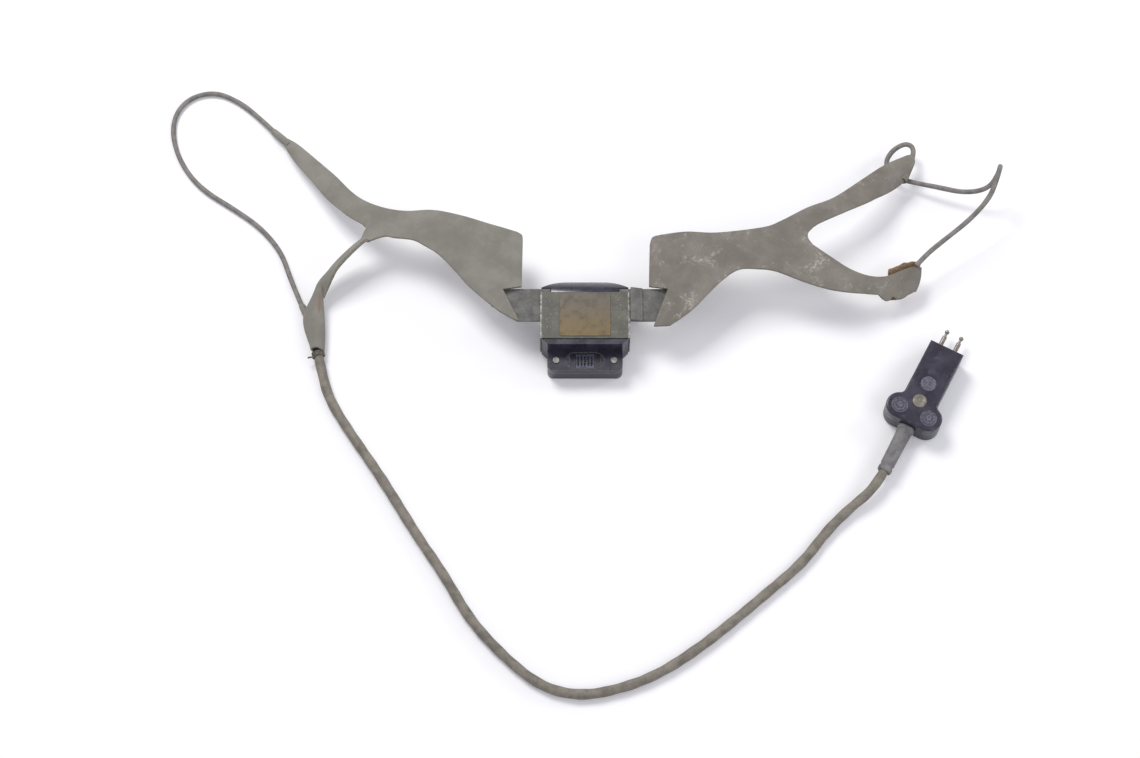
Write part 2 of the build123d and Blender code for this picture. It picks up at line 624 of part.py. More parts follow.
left_loop_route = [
    (-135.4, 94.2, 2.0), (-142.0, 101.2, 1.4), (-150.5, 108.6, loop_lie), (-161.0, 113.6, loop_lie),
    (-171.6, 111.2, loop_lie), (-178.2, 102.8, loop_lie), (-178.6, 91.0, loop_lie),
    (-173.6, 77.4, loop_lie), (-164.3, 65.6, loop_lie), (-150.6, 56.6, loop_lie),
    (-138.2, 47.6, loop_lie), (-128.4, 35.6, loop_lie), (-123.6, 21.6, 1.6), (-118.2, 9.4, 2.6),
]
right_loop_route = [
    (140.6, 77.6, 7.0), (141.9, 82.0, 7.4), (138.4, 84.9, 7.4), (132.2, 81.6, 6.8), (128.8, 75.6, 5.6),
    (132.4, 69.6, 4.6), (141.0, 66.6, 5.4), (151.4, 63.4, 7.0), (161.8, 60.4, 7.8), (171.0, 60.2, 11.6),
    (174.6, 64.4, 17.0), (175.0, 66.4, 21.6), (173.8, 62.6, 25.0), (172.0, 57.0, 23.4),
    (169.2, 51.0, 20.4), (161.0, 42.6, 17.2), (150.2, 34.6, 14.6), (142.6, 28.6, 13.2),
    (138.2, 23.6, 12.8),
]
main_cord_route = [
    (-110.8, -11.2, 2.9), (-108.9, -20.0, cord_lie), (-105.4, -32.0, cord_lie),
    (-96.4, -46.6, cord_lie), (-83.0, -66.0, cord_lie), (-67.5, -91.5, cord_lie),
    (-56.6, -107.4, cord_lie), (-45.8, -126.4, cord_lie), (-32.0, -141.6, cord_lie),
    (-17.6, -153.6, cord_lie), (-2.5, -157.4, cord_lie), (13.0, -154.6, cord_lie),
    (28.5, -148.6, cord_lie), (43.5, -138.8, cord_lie), (57.5, -127.8, cord_lie),
    (72.0, -115.4, cord_lie), (86.8, -102.8, cord_lie), (97.2, -89.0, cord_lie),
    (107.6, -79.2, 3.2), (115.9, -73.0, 5.2), (120.61, -65.38, 5.5),
]


def rod(start, end, radius):
    """Straight round rod from start to end, in the open part."""
    along = Vector(end) - Vector(start)
    with BuildSketch(Plane(origin=start, z_dir=along)) as section:
        Circle(radius)
    extrude(section.sketch, amount=along.length)


def cord(route, diameter, label):
    """Tube along straight runs joined by the largest tangent arcs that the runs allow."""
    runs = [Vector(b) - Vector(a) for a, b in zip(route, route[1:])]
    turns = [a.get_angle(b) for a, b in zip(runs, runs[1:])]
    radii = [ARC_SHARE * min(a.length, b.length) / tan(radians(turn / 2))
             for a, b, turn in zip(runs, runs[1:], turns)]
    print(label, "radii", [round(radius, 1) for radius in radii], "largest turn", round(max(turns)))
    with BuildPart() as tube:
        with BuildLine() as path:
            FilletPolyline(*route, radius=radii)
        with BuildSketch(Plane(origin=path.line @ 0, z_dir=path.line % 0)):
            Circle(diameter / 2)
        sweep()
    length = path.wires()[0].length
    section = pi * diameter ** 2 / 4
    print(label, "length", round(length, 1), "volume ratio", round(tube.part.volume / section / length, 4))
    save(tube, label)


for label, ends in (("left_tip_sleeve", left_sleeve), ("right_tip_sleeve", right_sleeve)):
    with BuildPart() as sleeve:
        rod(*ends, sleeve_radius)
    save(sleeve, label)

# The left cuff is the leaf-shaped end of the lower branch, wrapped round both cords' ends.
with BuildPart() as left_cuff:
    with BuildSketch(Plane.XY.offset(FABRIC_GAP)):
        with BuildLine():
            Polyline(*placed(-1, [(84.1, 12.0), (87.3, 12.6), (90.3, 8.6), (91.6, 3.0), (89.9, -4.0),
                                  (86.8, -10.9), (82.6, -10.9), (82.3, 5.0), (84.1, 12.0)]))
        make_face()
    extrude(amount=LEFT_CUFF_HEIGHT)
    with BuildSketch(Plane.YZ):
        with BuildLine():
            Polyline((13, 0), (13, LEFT_CUFF_HEIGHT), (4, LEFT_CUFF_LOW + 0.4), (-11, LEFT_CUFF_LOW),
                     (-11, 0), (13, 0))
        make_face()
    extrude(amount=-wing_inner - WING_REACH, mode=Mode.INTERSECT)
save(left_cuff, "left_cuff")

# The right cuff is the folded end of the lower branch, leaning back from the table.
with BuildPart() as right_cuff:
    with BuildSketch(Plane.YZ.offset(wing_inner + RIGHT_CUFF_PLACE)):
        with BuildLine():
            Polyline((11.0, FABRIC_GAP), (14.2, FABRIC_GAP), (24.0, 11.2), (21.6, 13.2), (11.0, FABRIC_GAP))
        make_face()
    extrude(amount=RIGHT_CUFF_LENGTH)
save(right_cuff, "right_cuff")

cord(left_loop_route, LOOP_DIAMETER, "left_ear_loop")
cord(right_loop_route, LOOP_DIAMETER, "right_ear_loop")
cord(main_cord_route, CORD_DIAMETER, "main_cord")

tie_direction = (Vector(main_cord_route[1]) - Vector(main_cord_route[0])).normalized()
with BuildPart() as cord_tie:
    with BuildSketch(Plane(origin=Vector(main_cord_route[0]) + tie_direction * FABRIC_GAP,
                           z_dir=tie_direction)) as ring:
        Circle(CORD_DIAMETER / 2 + FIT + TIE_THICKNESS)
        Circle(CORD_DIAMETER / 2 + FIT, mode=Mode.SUBTRACT)
    extrude(amount=TIE_LENGTH)
save(cord_tie, "cord_tie")

# ---------------------------------------------------------------- plug
# Local axes: x across the plug, y along its axis with the pin face at 0, z up from the table.
turn = radians(PLUG_TURN)
plug_plane = Plane(origin=(*PLUG_END, 0), x_dir=(cos(turn), -sin(turn), 0), z_dir=(0, 0, 1))
plug_half = PLUG_THICKNESS / 2
head_seat = PLUG_THICKNESS - LOBE_SCREW_DEPTH
lobe_y = LOBE_RADIUS - PLUG_LENGTH
lobe_places = [(-LOBE_SPACING / 2, lobe_y), (LOBE_SPACING / 2, lobe_y)]


def plug_plan(height, inset=0.0):
    """Outline of the plug: a straight nose and two lobes at the cord end."""
    with BuildSketch(plug_plane.offset(height)) as plan:
        with Locations((0, lobe_y / 2)):
            Rectangle(PLUG_WIDTH, -lobe_y)
        with Locations(*lobe_places):
            Circle(LOBE_RADIUS)
        with Locations((0, lobe_y)):
            Rectangle(LOBE_SPACING, 2 * LOBE_RADIUS)
        waist = [corner for corner in plan.vertices() if lobe_y + LOBE_RADIUS / 2 < corner.Y < -PLUG_WALL]
        fillet(waist, PLUG_BLEND)
        if inset:
            offset(amount=-inset)
    return plan.sketch


def plug_disc(radius, foot, height, at, mode=Mode.ADD):
    """Round piece or hole square to the plug's face, in the open part."""
    with BuildSketch(plug_plane.offset(foot)) as plan:
        with Locations(at):
            Circle(radius)
    extrude(plan.sketch, amount=height, mode=mode)


def plug_rod(x, y_start, y_end, radius, mode=Mode.ADD):
    """Round piece or hole along the plug's axis, halfway up its thickness."""
    start = plug_plane.from_local_coords((x, y_start, plug_half))
    end = plug_plane.from_local_coords((x, y_end, plug_half))
    with BuildSketch(Plane(origin=start, z_dir=end - start)) as section:
        Circle(radius)
    extrude(section.sketch, amount=abs(y_end - y_start), mode=mode)


def plug_box(width, length, foot, height, at, mode=Mode.ADD):
    """Flat piece or pocket square to the plug's axes, in the open part."""
    with BuildSketch(plug_plane.offset(foot)) as plan:
        with Locations(at):
            Rectangle(width, length)
    extrude(plan.sketch, amount=height, mode=mode)


def shell_inside(foot, height, clearance):
    """Hollow, bosses and channels that both shells share."""
    extrude(plug_plan(foot, PLUG_WALL), amount=height, mode=Mode.SUBTRACT)
    plug_box(PLUG_WIDTH - 2 * BLOCK_INSET, PLUG_NOSE - BLOCK_INSET, foot, height,
             (0, -(PLUG_NOSE + BLOCK_INSET) / 2))
    for place in lobe_places:
        plug_disc(STUB_RADIUS, foot, height, place)
    plug_disc(CENTRE_SHANK + WALL, foot, height, (0, -CENTRE_SCREW_BACK))
    for x in (-PIN_PITCH / 2, PIN_PITCH / 2):
        plug_rod(x, -PLUG_NOSE, 0, PIN_CORE + clearance, Mode.SUBTRACT)
    plug_rod(0, -PLUG_LENGTH, -PLUG_LENGTH + PLUG_WALL + BLOCK_INSET, STUB_RADIUS + clearance,
             Mode.SUBTRACT)
    plug_disc(CENTRE_SHANK + clearance, foot - PLUG_THICKNESS, 2 * PLUG_THICKNESS,
              (0, -CENTRE_SCREW_BACK), Mode.SUBTRACT)


with BuildPart() as plug_lower_shell:
    extrude(plug_plan(0), amount=plug_half)
    fillet(plug_lower_shell.faces().sort_by(Axis.Z)[0].edges(), PLUG_FILLET)
    shell_inside(PLUG_ROOF, plug_half - PLUG_ROOF, FIT)
    with BuildSketch(plug_plane) as nut_seat:
        with Locations((0, -CENTRE_SCREW_BACK)):
            RegularPolygon(NUT_RADIUS + FIT, 6)
    extrude(nut_seat.sketch, amount=NUT_DEPTH, mode=Mode.SUBTRACT)
save(plug_lower_shell, "plug_lower_shell")

with BuildPart() as plug_upper_shell:
    extrude(plug_plan(plug_half), amount=plug_half)
    fillet(plug_upper_shell.faces().sort_by(Axis.Z)[-1].edges(), PLUG_FILLET)
    shell_inside(plug_half, plug_half - PLUG_ROOF, FIT)
    for place in lobe_places:
        plug_disc(LOBE_SCREW_RADIUS + FIT, head_seat, PLUG_THICKNESS, place, Mode.SUBTRACT)
        plug_disc(SMALL_SCREW_RADIUS + FIT, plug_half, PLUG_THICKNESS, place, Mode.SUBTRACT)
    plug_disc(CENTRE_SCREW_RADIUS + FIT, head_seat, PLUG_THICKNESS, (0, -CENTRE_SCREW_BACK),
              Mode.SUBTRACT)
    plug_disc(INSERT_RADIUS + FIT, head_seat, PLUG_THICKNESS, (0, -INSERT_BACK), Mode.SUBTRACT)
save(plug_upper_shell, "plug_upper_shell")

with BuildPart() as plug_centre_screw:
    plug_disc(CENTRE_SCREW_RADIUS, head_seat, LOBE_SCREW_DEPTH + HEAD_PROUD, (0, -CENTRE_SCREW_BACK))
    plug_disc(CENTRE_SHANK, SCREW_TIP_GAP, head_seat - SCREW_TIP_GAP, (0, -CENTRE_SCREW_BACK))
save(plug_centre_screw, "plug_centre_screw")

with BuildPart() as plug_nut:
    with BuildSketch(plug_plane.offset(NUT_LIFT)) as nut_plan:
        with Locations((0, -CENTRE_SCREW_BACK)):
            RegularPolygon(NUT_RADIUS - FIT, 6)
            Circle(CENTRE_SHANK + FIT, mode=Mode.SUBTRACT)
    extrude(nut_plan.sketch, amount=NUT_DEPTH - NUT_LIFT)
save(plug_nut, "plug_nut")

with BuildPart() as plug_lobe_screws:
    for place in lobe_places:
        plug_disc(LOBE_SCREW_RADIUS, head_seat, LOBE_SCREW_DEPTH, place)
        plug_disc(SMALL_SCREW_RADIUS, plug_half + NUT_LIFT, head_seat - plug_half - NUT_LIFT, place)
save(plug_lobe_screws, "plug_lobe_screws")

with BuildPart() as plug_insert:
    plug_disc(INSERT_RADIUS, head_seat, LOBE_SCREW_DEPTH, (0, -INSERT_BACK))
save(plug_insert, "plug_insert")

pin_shank = PIN_LENGTH - NECK_LENGTH - 2 * PIN_RADIUS + NECK_OVERLAP
with BuildPart() as plug_pins:
    for x in (-PIN_PITCH / 2, PIN_PITCH / 2):
        plug_rod(x, -PLUG_NOSE - FLANGE_LENGTH, -PLUG_NOSE, PIN_FLANGE)
        plug_rod(x, -PLUG_NOSE, 0, PIN_CORE)
        plug_rod(x, 0, pin_shank, PIN_RADIUS)
        plug_rod(x, pin_shank, PIN_LENGTH - PIN_RADIUS, NECK_RADIUS)
        with Locations(plug_plane.from_local_coords((x, PIN_LENGTH - PIN_RADIUS, plug_half))):
            Sphere(PIN_RADIUS)
save(plug_pins, "plug_pins")

with BuildPart() as strain_relief:
    start = plug_plane.from_local_coords((0, -PLUG_LENGTH, plug_half))
    end = plug_plane.from_local_coords((0, -PLUG_LENGTH - RELIEF_LENGTH, plug_half))
    with BuildSketch(Plane(origin=start, x_dir=plug_plane.x_dir, z_dir=end - start)) as relief_end:
        RectangleRounded(RELIEF_WIDTH, RELIEF_HEIGHT, RELIEF_CORNER)
    extrude(relief_end.sketch, amount=RELIEF_LENGTH)
    plug_rod(0, -PLUG_LENGTH + STUB_LENGTH, -PLUG_LENGTH, STUB_RADIUS)
save(strain_relief, "strain_relief")

with BuildPart() as plug_cord_clamp:
    plug_box(LOBE_SPACING - 2 * STUB_RADIUS - 2 * CLAMP_GAP, CLAMP_LENGTH, plug_half + STUB_RADIUS + FIT,
             CLAMP_HEIGHT, (0, lobe_y - CLAMP_LENGTH / 2))
save(plug_cord_clamp, "plug_cord_clamp")
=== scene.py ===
from math import atan2, ceil, cos, pi, radians, sin
import bmesh
import bpy
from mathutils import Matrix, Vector


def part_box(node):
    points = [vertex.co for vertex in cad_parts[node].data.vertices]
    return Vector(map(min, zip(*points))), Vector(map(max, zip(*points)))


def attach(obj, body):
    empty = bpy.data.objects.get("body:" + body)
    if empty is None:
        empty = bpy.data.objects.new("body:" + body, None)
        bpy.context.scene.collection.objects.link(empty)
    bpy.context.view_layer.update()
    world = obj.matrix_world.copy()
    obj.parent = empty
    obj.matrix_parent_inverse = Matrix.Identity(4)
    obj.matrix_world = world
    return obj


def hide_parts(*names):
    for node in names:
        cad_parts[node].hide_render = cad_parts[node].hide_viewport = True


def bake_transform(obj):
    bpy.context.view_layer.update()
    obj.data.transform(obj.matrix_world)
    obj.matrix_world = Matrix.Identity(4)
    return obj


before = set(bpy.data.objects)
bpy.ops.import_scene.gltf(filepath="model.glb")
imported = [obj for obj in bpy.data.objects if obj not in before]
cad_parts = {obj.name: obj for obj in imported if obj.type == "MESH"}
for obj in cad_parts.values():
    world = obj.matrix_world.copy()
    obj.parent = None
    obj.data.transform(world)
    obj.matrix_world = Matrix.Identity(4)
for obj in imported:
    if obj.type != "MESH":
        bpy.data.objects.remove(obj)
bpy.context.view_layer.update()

# Lip microphone on an ear-loop harness, lying on a table with its cord and two-pin plug.
# The scene, the camera and the cords' routes are in metres, in the CAD frame. Outlines, sections and
# the other sizes of the pieces are in millimetres, and are scaled by MM.
MM = 0.001

CAMERA_PLACE = (-0.00617, -0.38095, 0.84502)
CAMERA_TILT = 23.0
CAMERA_LENS = 70.0
CAMERA_SENSOR = 36.0

CORD_DIAMETER = 0.0040  # metres
LOOP_DIAMETER = 0.0021  # metres
FABRIC = 1.2  # thickness of the wings' cloth
BRANCH_HALF = 5.4  # half width of the strip of cloth that follows the left lower branch's line
END_LEAN = 0.45  # slope of the right lower branch's end, back from the table

STRAP_RIB = 0.85  # spacing of the webbing's ribs
STRAP_CORNER = {-1: 28.0, 1: 35.5}  # how far out each strap's lower corner is, left and right
SECOND_PLY_RISE = 0.82  # height of the right strap's second layer above the first
SECOND_PLY = 0.80  # thickness of that layer

PLUG_TURN = radians(28.4)
PLUG_LENGTH = 38.0
PLUG_THICKNESS = 11.0
CENTRE_SCREW_BACK = 27.3  # distances back from the plug's pin face
LOBE_SCREW_BACK = 32.4
INSERT_BACK = 18.6
LOBE_SCREW_OUT = 6.4  # distance of a lobe's screw from the plug's middle line

FLOOR_HALF = 4.0  # metres
FLOOR_DROP = 0.00004  # metres below the CAD's table, so that no face lies in the floor
LAMPS = (  # name, place and size in metres, watts, colour
    ("key_light", (-0.55, 0.75, 1.25), 0.60, 14.5, (1.0, 0.99, 0.97)),
    ("fill_light", (0.9, -0.7, 1.0), 0.9, 4.0, (0.97, 0.98, 1.0)),
    ("side_light", (0.85, 0.30, 0.45), 0.25, 1.6, (0.95, 0.96, 1.0)),
)


# -------- camera
camera = bpy.data.objects.new("camera", bpy.data.cameras.new("camera"))
bpy.context.collection.objects.link(camera)
camera.location = CAMERA_PLACE
camera.rotation_euler = (radians(CAMERA_TILT), 0, 0)
camera.data.lens = CAMERA_LENS
camera.data.sensor_fit = "HORIZONTAL"
camera.data.sensor_width = CAMERA_SENSOR
camera.data.clip_end = 20
bpy.context.scene.camera = camera


# -------- materials
class Finish:
    """A node material, with short calls for the textures that feed its shader."""

    def __init__(self, name, roughness=0.5, **constants):
        self.material = bpy.data.materials.new(name)
        self.material.use_nodes = True
        self.tree = self.material.node_tree
        self.shader = self.tree.nodes["Principled BSDF"]
        self.shader.inputs["Roughness"].default_value = roughness
        for socket, value in constants.items():
            self.shader.inputs[socket.replace("_", " ")].default_value = value
        self.place = self.tree.nodes.new("ShaderNodeTexCoord").outputs["Object"]

    def put(self, socket, value):
        """Give a node's socket a value, or the output of another node."""
        if hasattr(value, "is_linked"):
            self.tree.links.new(value, socket)
        else:
            socket.default_value = value

    def stretched(self, scale, turn=0.0):
        """Object coordinates turned about Z, then multiplied by scale."""
        node = self.tree.nodes.new("ShaderNodeMapping")
        node.inputs["Scale"].default_value = scale
        node.inputs["Rotation"].default_value = (0, 0, turn)
        self.tree.links.new(self.place, node.inputs["Vector"])
        return node.outputs[0]

    def noise(self, size, detail=4.0, rough=0.55, at=None, distortion=0.0):
        """Cloudy noise whose patches are about size millimetres across."""
        node = self.tree.nodes.new("ShaderNodeTexNoise")
        node.inputs["Scale"].default_value = 1 / (size * MM)
        node.inputs["Detail"].default_value = detail
        node.inputs["Roughness"].default_value = rough
        node.inputs["Distortion"].default_value = distortion
        self.tree.links.new(at or self.place, node.inputs["Vector"])
        return node.outputs[0]

    def waves(self, pitch, turn=0.0, distortion=0.0):
        """Parallel ridges, pitch millimetres apart, running along X before the turn."""
        node = self.tree.nodes.new("ShaderNodeTexWave")
        node.bands_direction = "Y"
        node.inputs["Scale"].default_value = 2 * pi / 20 / (pitch * MM)
        node.inputs["Distortion"].default_value = distortion
        self.tree.links.new(self.stretched((1, 1, 1), turn), node.inputs["Vector"])
        return node.outputs["Fac"]

    def axis(self, name):
        """One of the object coordinates."""
        node = self.tree.nodes.new("ShaderNodeSeparateXYZ")
        self.tree.links.new(self.place, node.inputs[0])
        return node.outputs[name]

    def calc(self, operation, first, second=0.0):
        """A Math node."""
        node = self.tree.nodes.new("ShaderNodeMath")
        node.operation = operation
        self.put(node.inputs[0], first)
        self.put(node.inputs[1], second)
        return node.outputs[0]

    def between(self, value, low, high, start=0.0, end=1.0):
        """Value carried from the range low..high to start..end, and held at both ends."""
        node = self.tree.nodes.new("ShaderNodeMapRange")
        node.interpolation_type = "SMOOTHSTEP"
        self.put(node.inputs["Value"], value)
        for socket, number in (("From Min", low), ("From Max", high), ("To Min", start), ("To Max", end)):
            node.inputs[socket].default_value = number
        return node.outputs[0]

    def mix(self, factor, first, second, blend="MIX"):
        """First colour where factor is 0, second where it is 1."""
        node = self.tree.nodes.new("ShaderNodeMix")
        node.data_type = "RGBA"
        node.blend_type = blend
        self.put(node.inputs[0], factor)
        self.put(node.inputs[6], first)
        self.put(node.inputs[7], second)
        return node.outputs[2]

    def colour(self, value):
        self.put(self.shader.inputs["Base Color"], value)

    def roughness(self, value):
        self.put(self.shader.inputs["Roughness"], value)

    def metallic(self, value):
        self.put(self.shader.inputs["Metallic"], value)

    def relief(self, *layers):
        """Bump from (height, depth in millimetres) layers, one on another."""
        below = None
        for height, depth in layers:
            node = self.tree.nodes.new("ShaderNodeBump")
            node.inputs["Distance"].default_value = depth * MM
            self.tree.links.new(height, node.inputs["Height"])
            if below is not None:
                self.tree.links.new(below, node.inputs["Normal"])
            below = node.outputs[0]
        self.tree.links.new(below, self.shader.inputs["Normal"])


def srgb(red, green, blue):
    """Colour as it looks on screen, 0 to 255, as the linear colour that nodes use."""
    linear = [((c / 255 + 0.055) / 1.055) ** 2.4 if c > 10 else c / 3295 for c in (red, green, blue)]
    return (*linear, 1.0)


def rubberised_cloth(name, dark, light, scuff, scuffs, spot=None):
    """Coated cotton: cloudy grey with a fine weave under the coating, and rubbed pale patches.

    A spot is an oval stain: its middle and half widths in millimetres, and its colour.
    """
    finish = Finish(name, 0.78, Specular_IOR_Level=0.3, Sheen_Weight=0.08)
    clouds = finish.noise(14, 6, 0.62)
    grain = finish.noise(0.7, 3)
    base = finish.mix(finish.between(clouds, 0.34, 0.68), srgb(*dark), srgb(*light))
    base = finish.mix(finish.between(grain, 0.3, 0.75, 0.0, 0.30), base, srgb(*dark))
    rubbed = finish.calc("MULTIPLY", finish.between(finish.noise(9, 7, 0.72, distortion=0.8), *scuffs),
                         finish.between(finish.noise(0.9, 4), 0.35, 0.65))
    base = finish.mix(rubbed, base, srgb(*scuff))
    if spot:
        (x, y), (half_x, half_y), brown = spot
        off_x = finish.calc("DIVIDE", finish.calc("SUBTRACT", finish.axis("X"), x * MM), half_x * MM)
        off_y = finish.calc("DIVIDE", finish.calc("SUBTRACT", finish.axis("Y"), y * MM), half_y * MM)
        far = finish.calc("ADD", finish.calc("MULTIPLY", off_x, off_x), finish.calc("MULTIPLY", off_y, off_y))
        base = finish.mix(finish.between(far, 0.2, 1.0, 0.75, 0.0), base, srgb(*brown))
    finish.colour(base)
    finish.roughness(finish.between(clouds, 0.3, 0.7, 0.66, 0.86))
    finish.relief((finish.noise(6, 5), 0.30), (finish.waves(0.55, 0.3), 0.035),
                  (finish.waves(0.55, 0.3 + pi / 2), 0.035), (grain, 0.10))
    return finish.material


def cut_edge(name, colour, dirt):
    """Raw edge of the cloth: threads and old rubber."""
    finish = Finish(name, 0.9, Specular_IOR_Level=0.2)
    threads = finish.noise(0.6, 5, 0.7)
    finish.colour(finish.mix(finish.between(threads, 0.35, 0.65), srgb(*dirt), srgb(*colour)))
    finish.relief((threads, 0.25))
    return finish.material


def webbing_cloth():
    """Dark cotton webbing."""
    finish = Finish("webbing_cloth", 0.88, Specular_IOR_Level=0.25, Sheen_Weight=0.15)
    wear = finish.between(finish.noise(5, 5, 0.65), 0.35, 0.7)
    base = finish.mix(wear, srgb(98, 98, 95), srgb(126, 125, 121))
    fibres = finish.noise(0.35, 3)
    finish.colour(finish.mix(finish.between(fibres, 0.35, 0.7, 0.0, 0.35), base, srgb(72, 72, 71)))
    finish.relief((fibres, 0.12))
    return finish.material


def bakelite(name, wear_size=(0.60, 0.75)):
    """Moulded phenolic: near-black indigo, glossy where it isn't rubbed, with dust and fine scratches."""
    finish = Finish(name, 0.3, Specular_IOR_Level=0.55, Coat_Weight=0.25, Coat_Roughness=0.12)
    smears = finish.noise(7, 6, 0.6, distortion=0.6)
    dust = finish.noise(0.5, 4, 0.7)
    worn = finish.between(finish.noise(5.5, 7, 0.7), *wear_size)
    base = finish.mix(finish.between(smears, 0.3, 0.75), srgb(34, 32, 46), srgb(50, 48, 64))
    base = finish.mix(finish.calc("MULTIPLY", worn, 0.45), base, srgb(92, 90, 100))
    base = finish.mix(finish.between(dust, 0.66, 0.74, 0.0, 0.4), base, srgb(118, 115, 120))
    finish.colour(base)
    finish.roughness(finish.between(smears, 0.3, 0.7, 0.22, 0.42))
    finish.relief((smears, 0.06), (dust, 0.02))
    return finish.material


def worn_paint(half_width, top):
    """Olive-grey paint on the band: speckled, chipped, and bright along its bends, partly bare metal rubbed
    through and partly a painted highlight.
    """
    finish = Finish("worn_paint", 0.5, Specular_IOR_Level=0.45)
    clouds = finish.noise(6, 5, 0.6)
    specks = finish.noise(0.45, 3, 0.6)
    base = finish.mix(finish.between(clouds, 0.35, 0.7), srgb(80, 80, 71), srgb(101, 100, 90))
    base = finish.mix(finish.between(specks, 0.58, 0.72, 0.0, 0.6), base, srgb(58, 56, 54))
    chips = finish.between(finish.noise(0.7, 4, 0.6), 0.60, 0.70, 0.0, 0.7)
    base = finish.mix(chips, base, srgb(152, 148, 136))
    out = finish.calc("ABSOLUTE", finish.axis("X"))
    # Strip along each bend: bare metal where the paint is rubbed through, together with a painted highlight
    # along the bend.
    bend = finish.between(finish.calc("ADD", out, finish.axis("Z")), half_width + top - 1.0 * MM,
                          half_width + top - 0.3 * MM)
    breakup = finish.between(finish.noise(1.6, 6, 0.7), 0.36, 0.62)
    bare_metal_and_highlight = finish.calc("MULTIPLY", bend, breakup)
    finish.colour(finish.mix(bare_metal_and_highlight, base, srgb(188, 186, 182)))
    finish.metallic(finish.calc("MULTIPLY", bare_metal_and_highlight, 0.6))
    finish.roughness(finish.between(clouds, 0.3, 0.7, 0.38, 0.60))
    finish.relief((finish.noise(2.2, 4), 0.05), (specks, 0.03))
    return finish.material


def bronze_plate(low, high):
    """Bare label plate: tarnished bronze, greyer towards the crown."""
    finish = Finish("bronze_plate", 0.42, Metallic=0.35, Specular_IOR_Level=0.5)
    height = finish.between(finish.axis("Y"), low, high)
    base = finish.mix(height, srgb(112, 97, 66), srgb(101, 94, 87))
    stain = finish.noise(3.6, 5, 0.6)
    base = finish.mix(finish.between(stain, 0.40, 0.72, 0.0, 0.55), base, srgb(86, 79, 66))
    rubbed = finish.between(finish.noise(0.6, 4, 0.6), 0.58, 0.72, 0.0, 0.4)
    base = finish.mix(rubbed, base, srgb(134, 122, 92))
    finish.colour(base)
    finish.roughness(finish.between(stain, 0.3, 0.7, 0.35, 0.6))
    scratches = finish.noise(0.5, 3, 0.6, at=finish.stretched((0.12, 1, 1), 0.5))
    finish.relief((stain, 0.03), (scratches, 0.02))
    return finish.material


def plain_metal(name, bright, dark, rough, metallic=0.85, size=1.2):
    """Bare metal with stains."""
    finish = Finish(name, rough, Metallic=metallic)
    stains = finish.noise(size, 5, 0.65)
    finish.colour(finish.mix(finish.between(stains, 0.35, 0.68), srgb(*bright), srgb(*dark)))
    finish.roughness(finish.between(stains, 0.3, 0.7, rough * 0.8, rough * 1.3))
    finish.relief((finish.noise(size / 3, 4), 0.02))
    return finish.material


def matt_stuff(name, colour, dark, size, rough=0.85, depth=0.06):
    """Felt, carbon, card and screens inside the case, and other dull pieces."""
    finish = Finish(name, rough, Specular_IOR_Level=0.3)
    specks = finish.noise(size, 5, 0.65)
    finish.colour(finish.mix(finish.between(specks, 0.35, 0.65), srgb(*dark), srgb(*colour)))
    finish.relief((specks, depth))
    return finish.material


def cord_jacket(name, light, dark, grime, size):
    """Old rubber jacket: dull, streaked along its length, grimy in the hollows."""
    finish = Finish(name, 0.62, Specular_IOR_Level=0.35)
    streaks = finish.noise(size, 6, 0.65)
    base = finish.mix(finish.between(streaks, 0.32, 0.66), srgb(*dark), srgb(*light))
    dirt = finish.between(finish.noise(size / 6, 4, 0.7), 0.56, 0.72, 0.0, 0.7)
    base = finish.mix(dirt, base, srgb(*grime))
    finish.colour(base)
    finish.roughness(finish.between(streaks, 0.3, 0.7, 0.48, 0.74))
    finish.relief((streaks, 0.10), (finish.noise(0.4, 4), 0.05))
    return finish.material


left_cloth = rubberised_cloth("left_cloth", (121, 118, 110), (141, 138, 129), (162, 158, 148), (0.60, 0.78))
right_cloth = rubberised_cloth("right_cloth", (112, 107, 99), (134, 129, 120), (172, 168, 160), (0.52, 0.70))
leaf_stain = ((-110.6, 9.0), (0.9, 5.5), (132, 112, 92))
leaf_cloth = rubberised_cloth("leaf_cloth", (124, 121, 113), (144, 141, 133), (162, 158, 148), (0.60, 0.78),
                              leaf_stain)
pale_edge = cut_edge("pale_edge", (150, 146, 134), (112, 106, 94))
brown_edge = cut_edge("brown_edge", (158, 132, 104), (104, 84, 66))
strap_cloth = webbing_cloth()
strap_thread = matt_stuff("strap_thread", (142, 140, 134), (96, 94, 90), 0.3)
case_finish = bakelite("case_bakelite")
plug_finish = bakelite("plug_bakelite", (0.54, 0.70))
disc_finish = matt_stuff("disc_phenolic", (108, 106, 118), (76, 74, 86), 0.9, 0.5, 0.03)
steel = plain_metal("steel", (158, 156, 152), (104, 100, 94), 0.42)
brass = plain_metal("brass", (164, 148, 116), (104, 92, 70), 0.38)
pin_metal = plain_metal("pin_metal", (160, 153, 144), (106, 99, 92), 0.34)
tan_screw = plain_metal("tan_screw", (140, 134, 122), (106, 101, 92), 0.5, 0.4)
grille_finish = matt_stuff("grille_phenolic", (100, 102, 120), (68, 69, 84), 1.1, 0.45, 0.04)
bracket_finish = matt_stuff("bracket_phenolic", (112, 109, 110), (70, 68, 74), 0.8, 0.5, 0.04)
foil = plain_metal("foil", (184, 182, 176), (140, 136, 128), 0.3)
carbon = matt_stuff("carbon", (44, 44, 46), (22, 22, 24), 0.5, 0.7)
felt = matt_stuff("felt", (176, 170, 156), (128, 122, 110), 0.6, 0.95, 0.2)
main_jacket = cord_jacket("main_jacket", (136, 130, 119), (106, 101, 92), (84, 80, 73), 5)
loop_rubber = cord_jacket("loop_rubber", (136, 133, 128), (108, 105, 101), (84, 82, 79), 3)
relief_rubber = cord_jacket("relief_rubber", (128, 126, 126), (100, 98, 100), (78, 76, 78), 4)
tie_wire = plain_metal("tie_wire", (120, 116, 108), (78, 74, 68), 0.5, 0.6, 0.6)


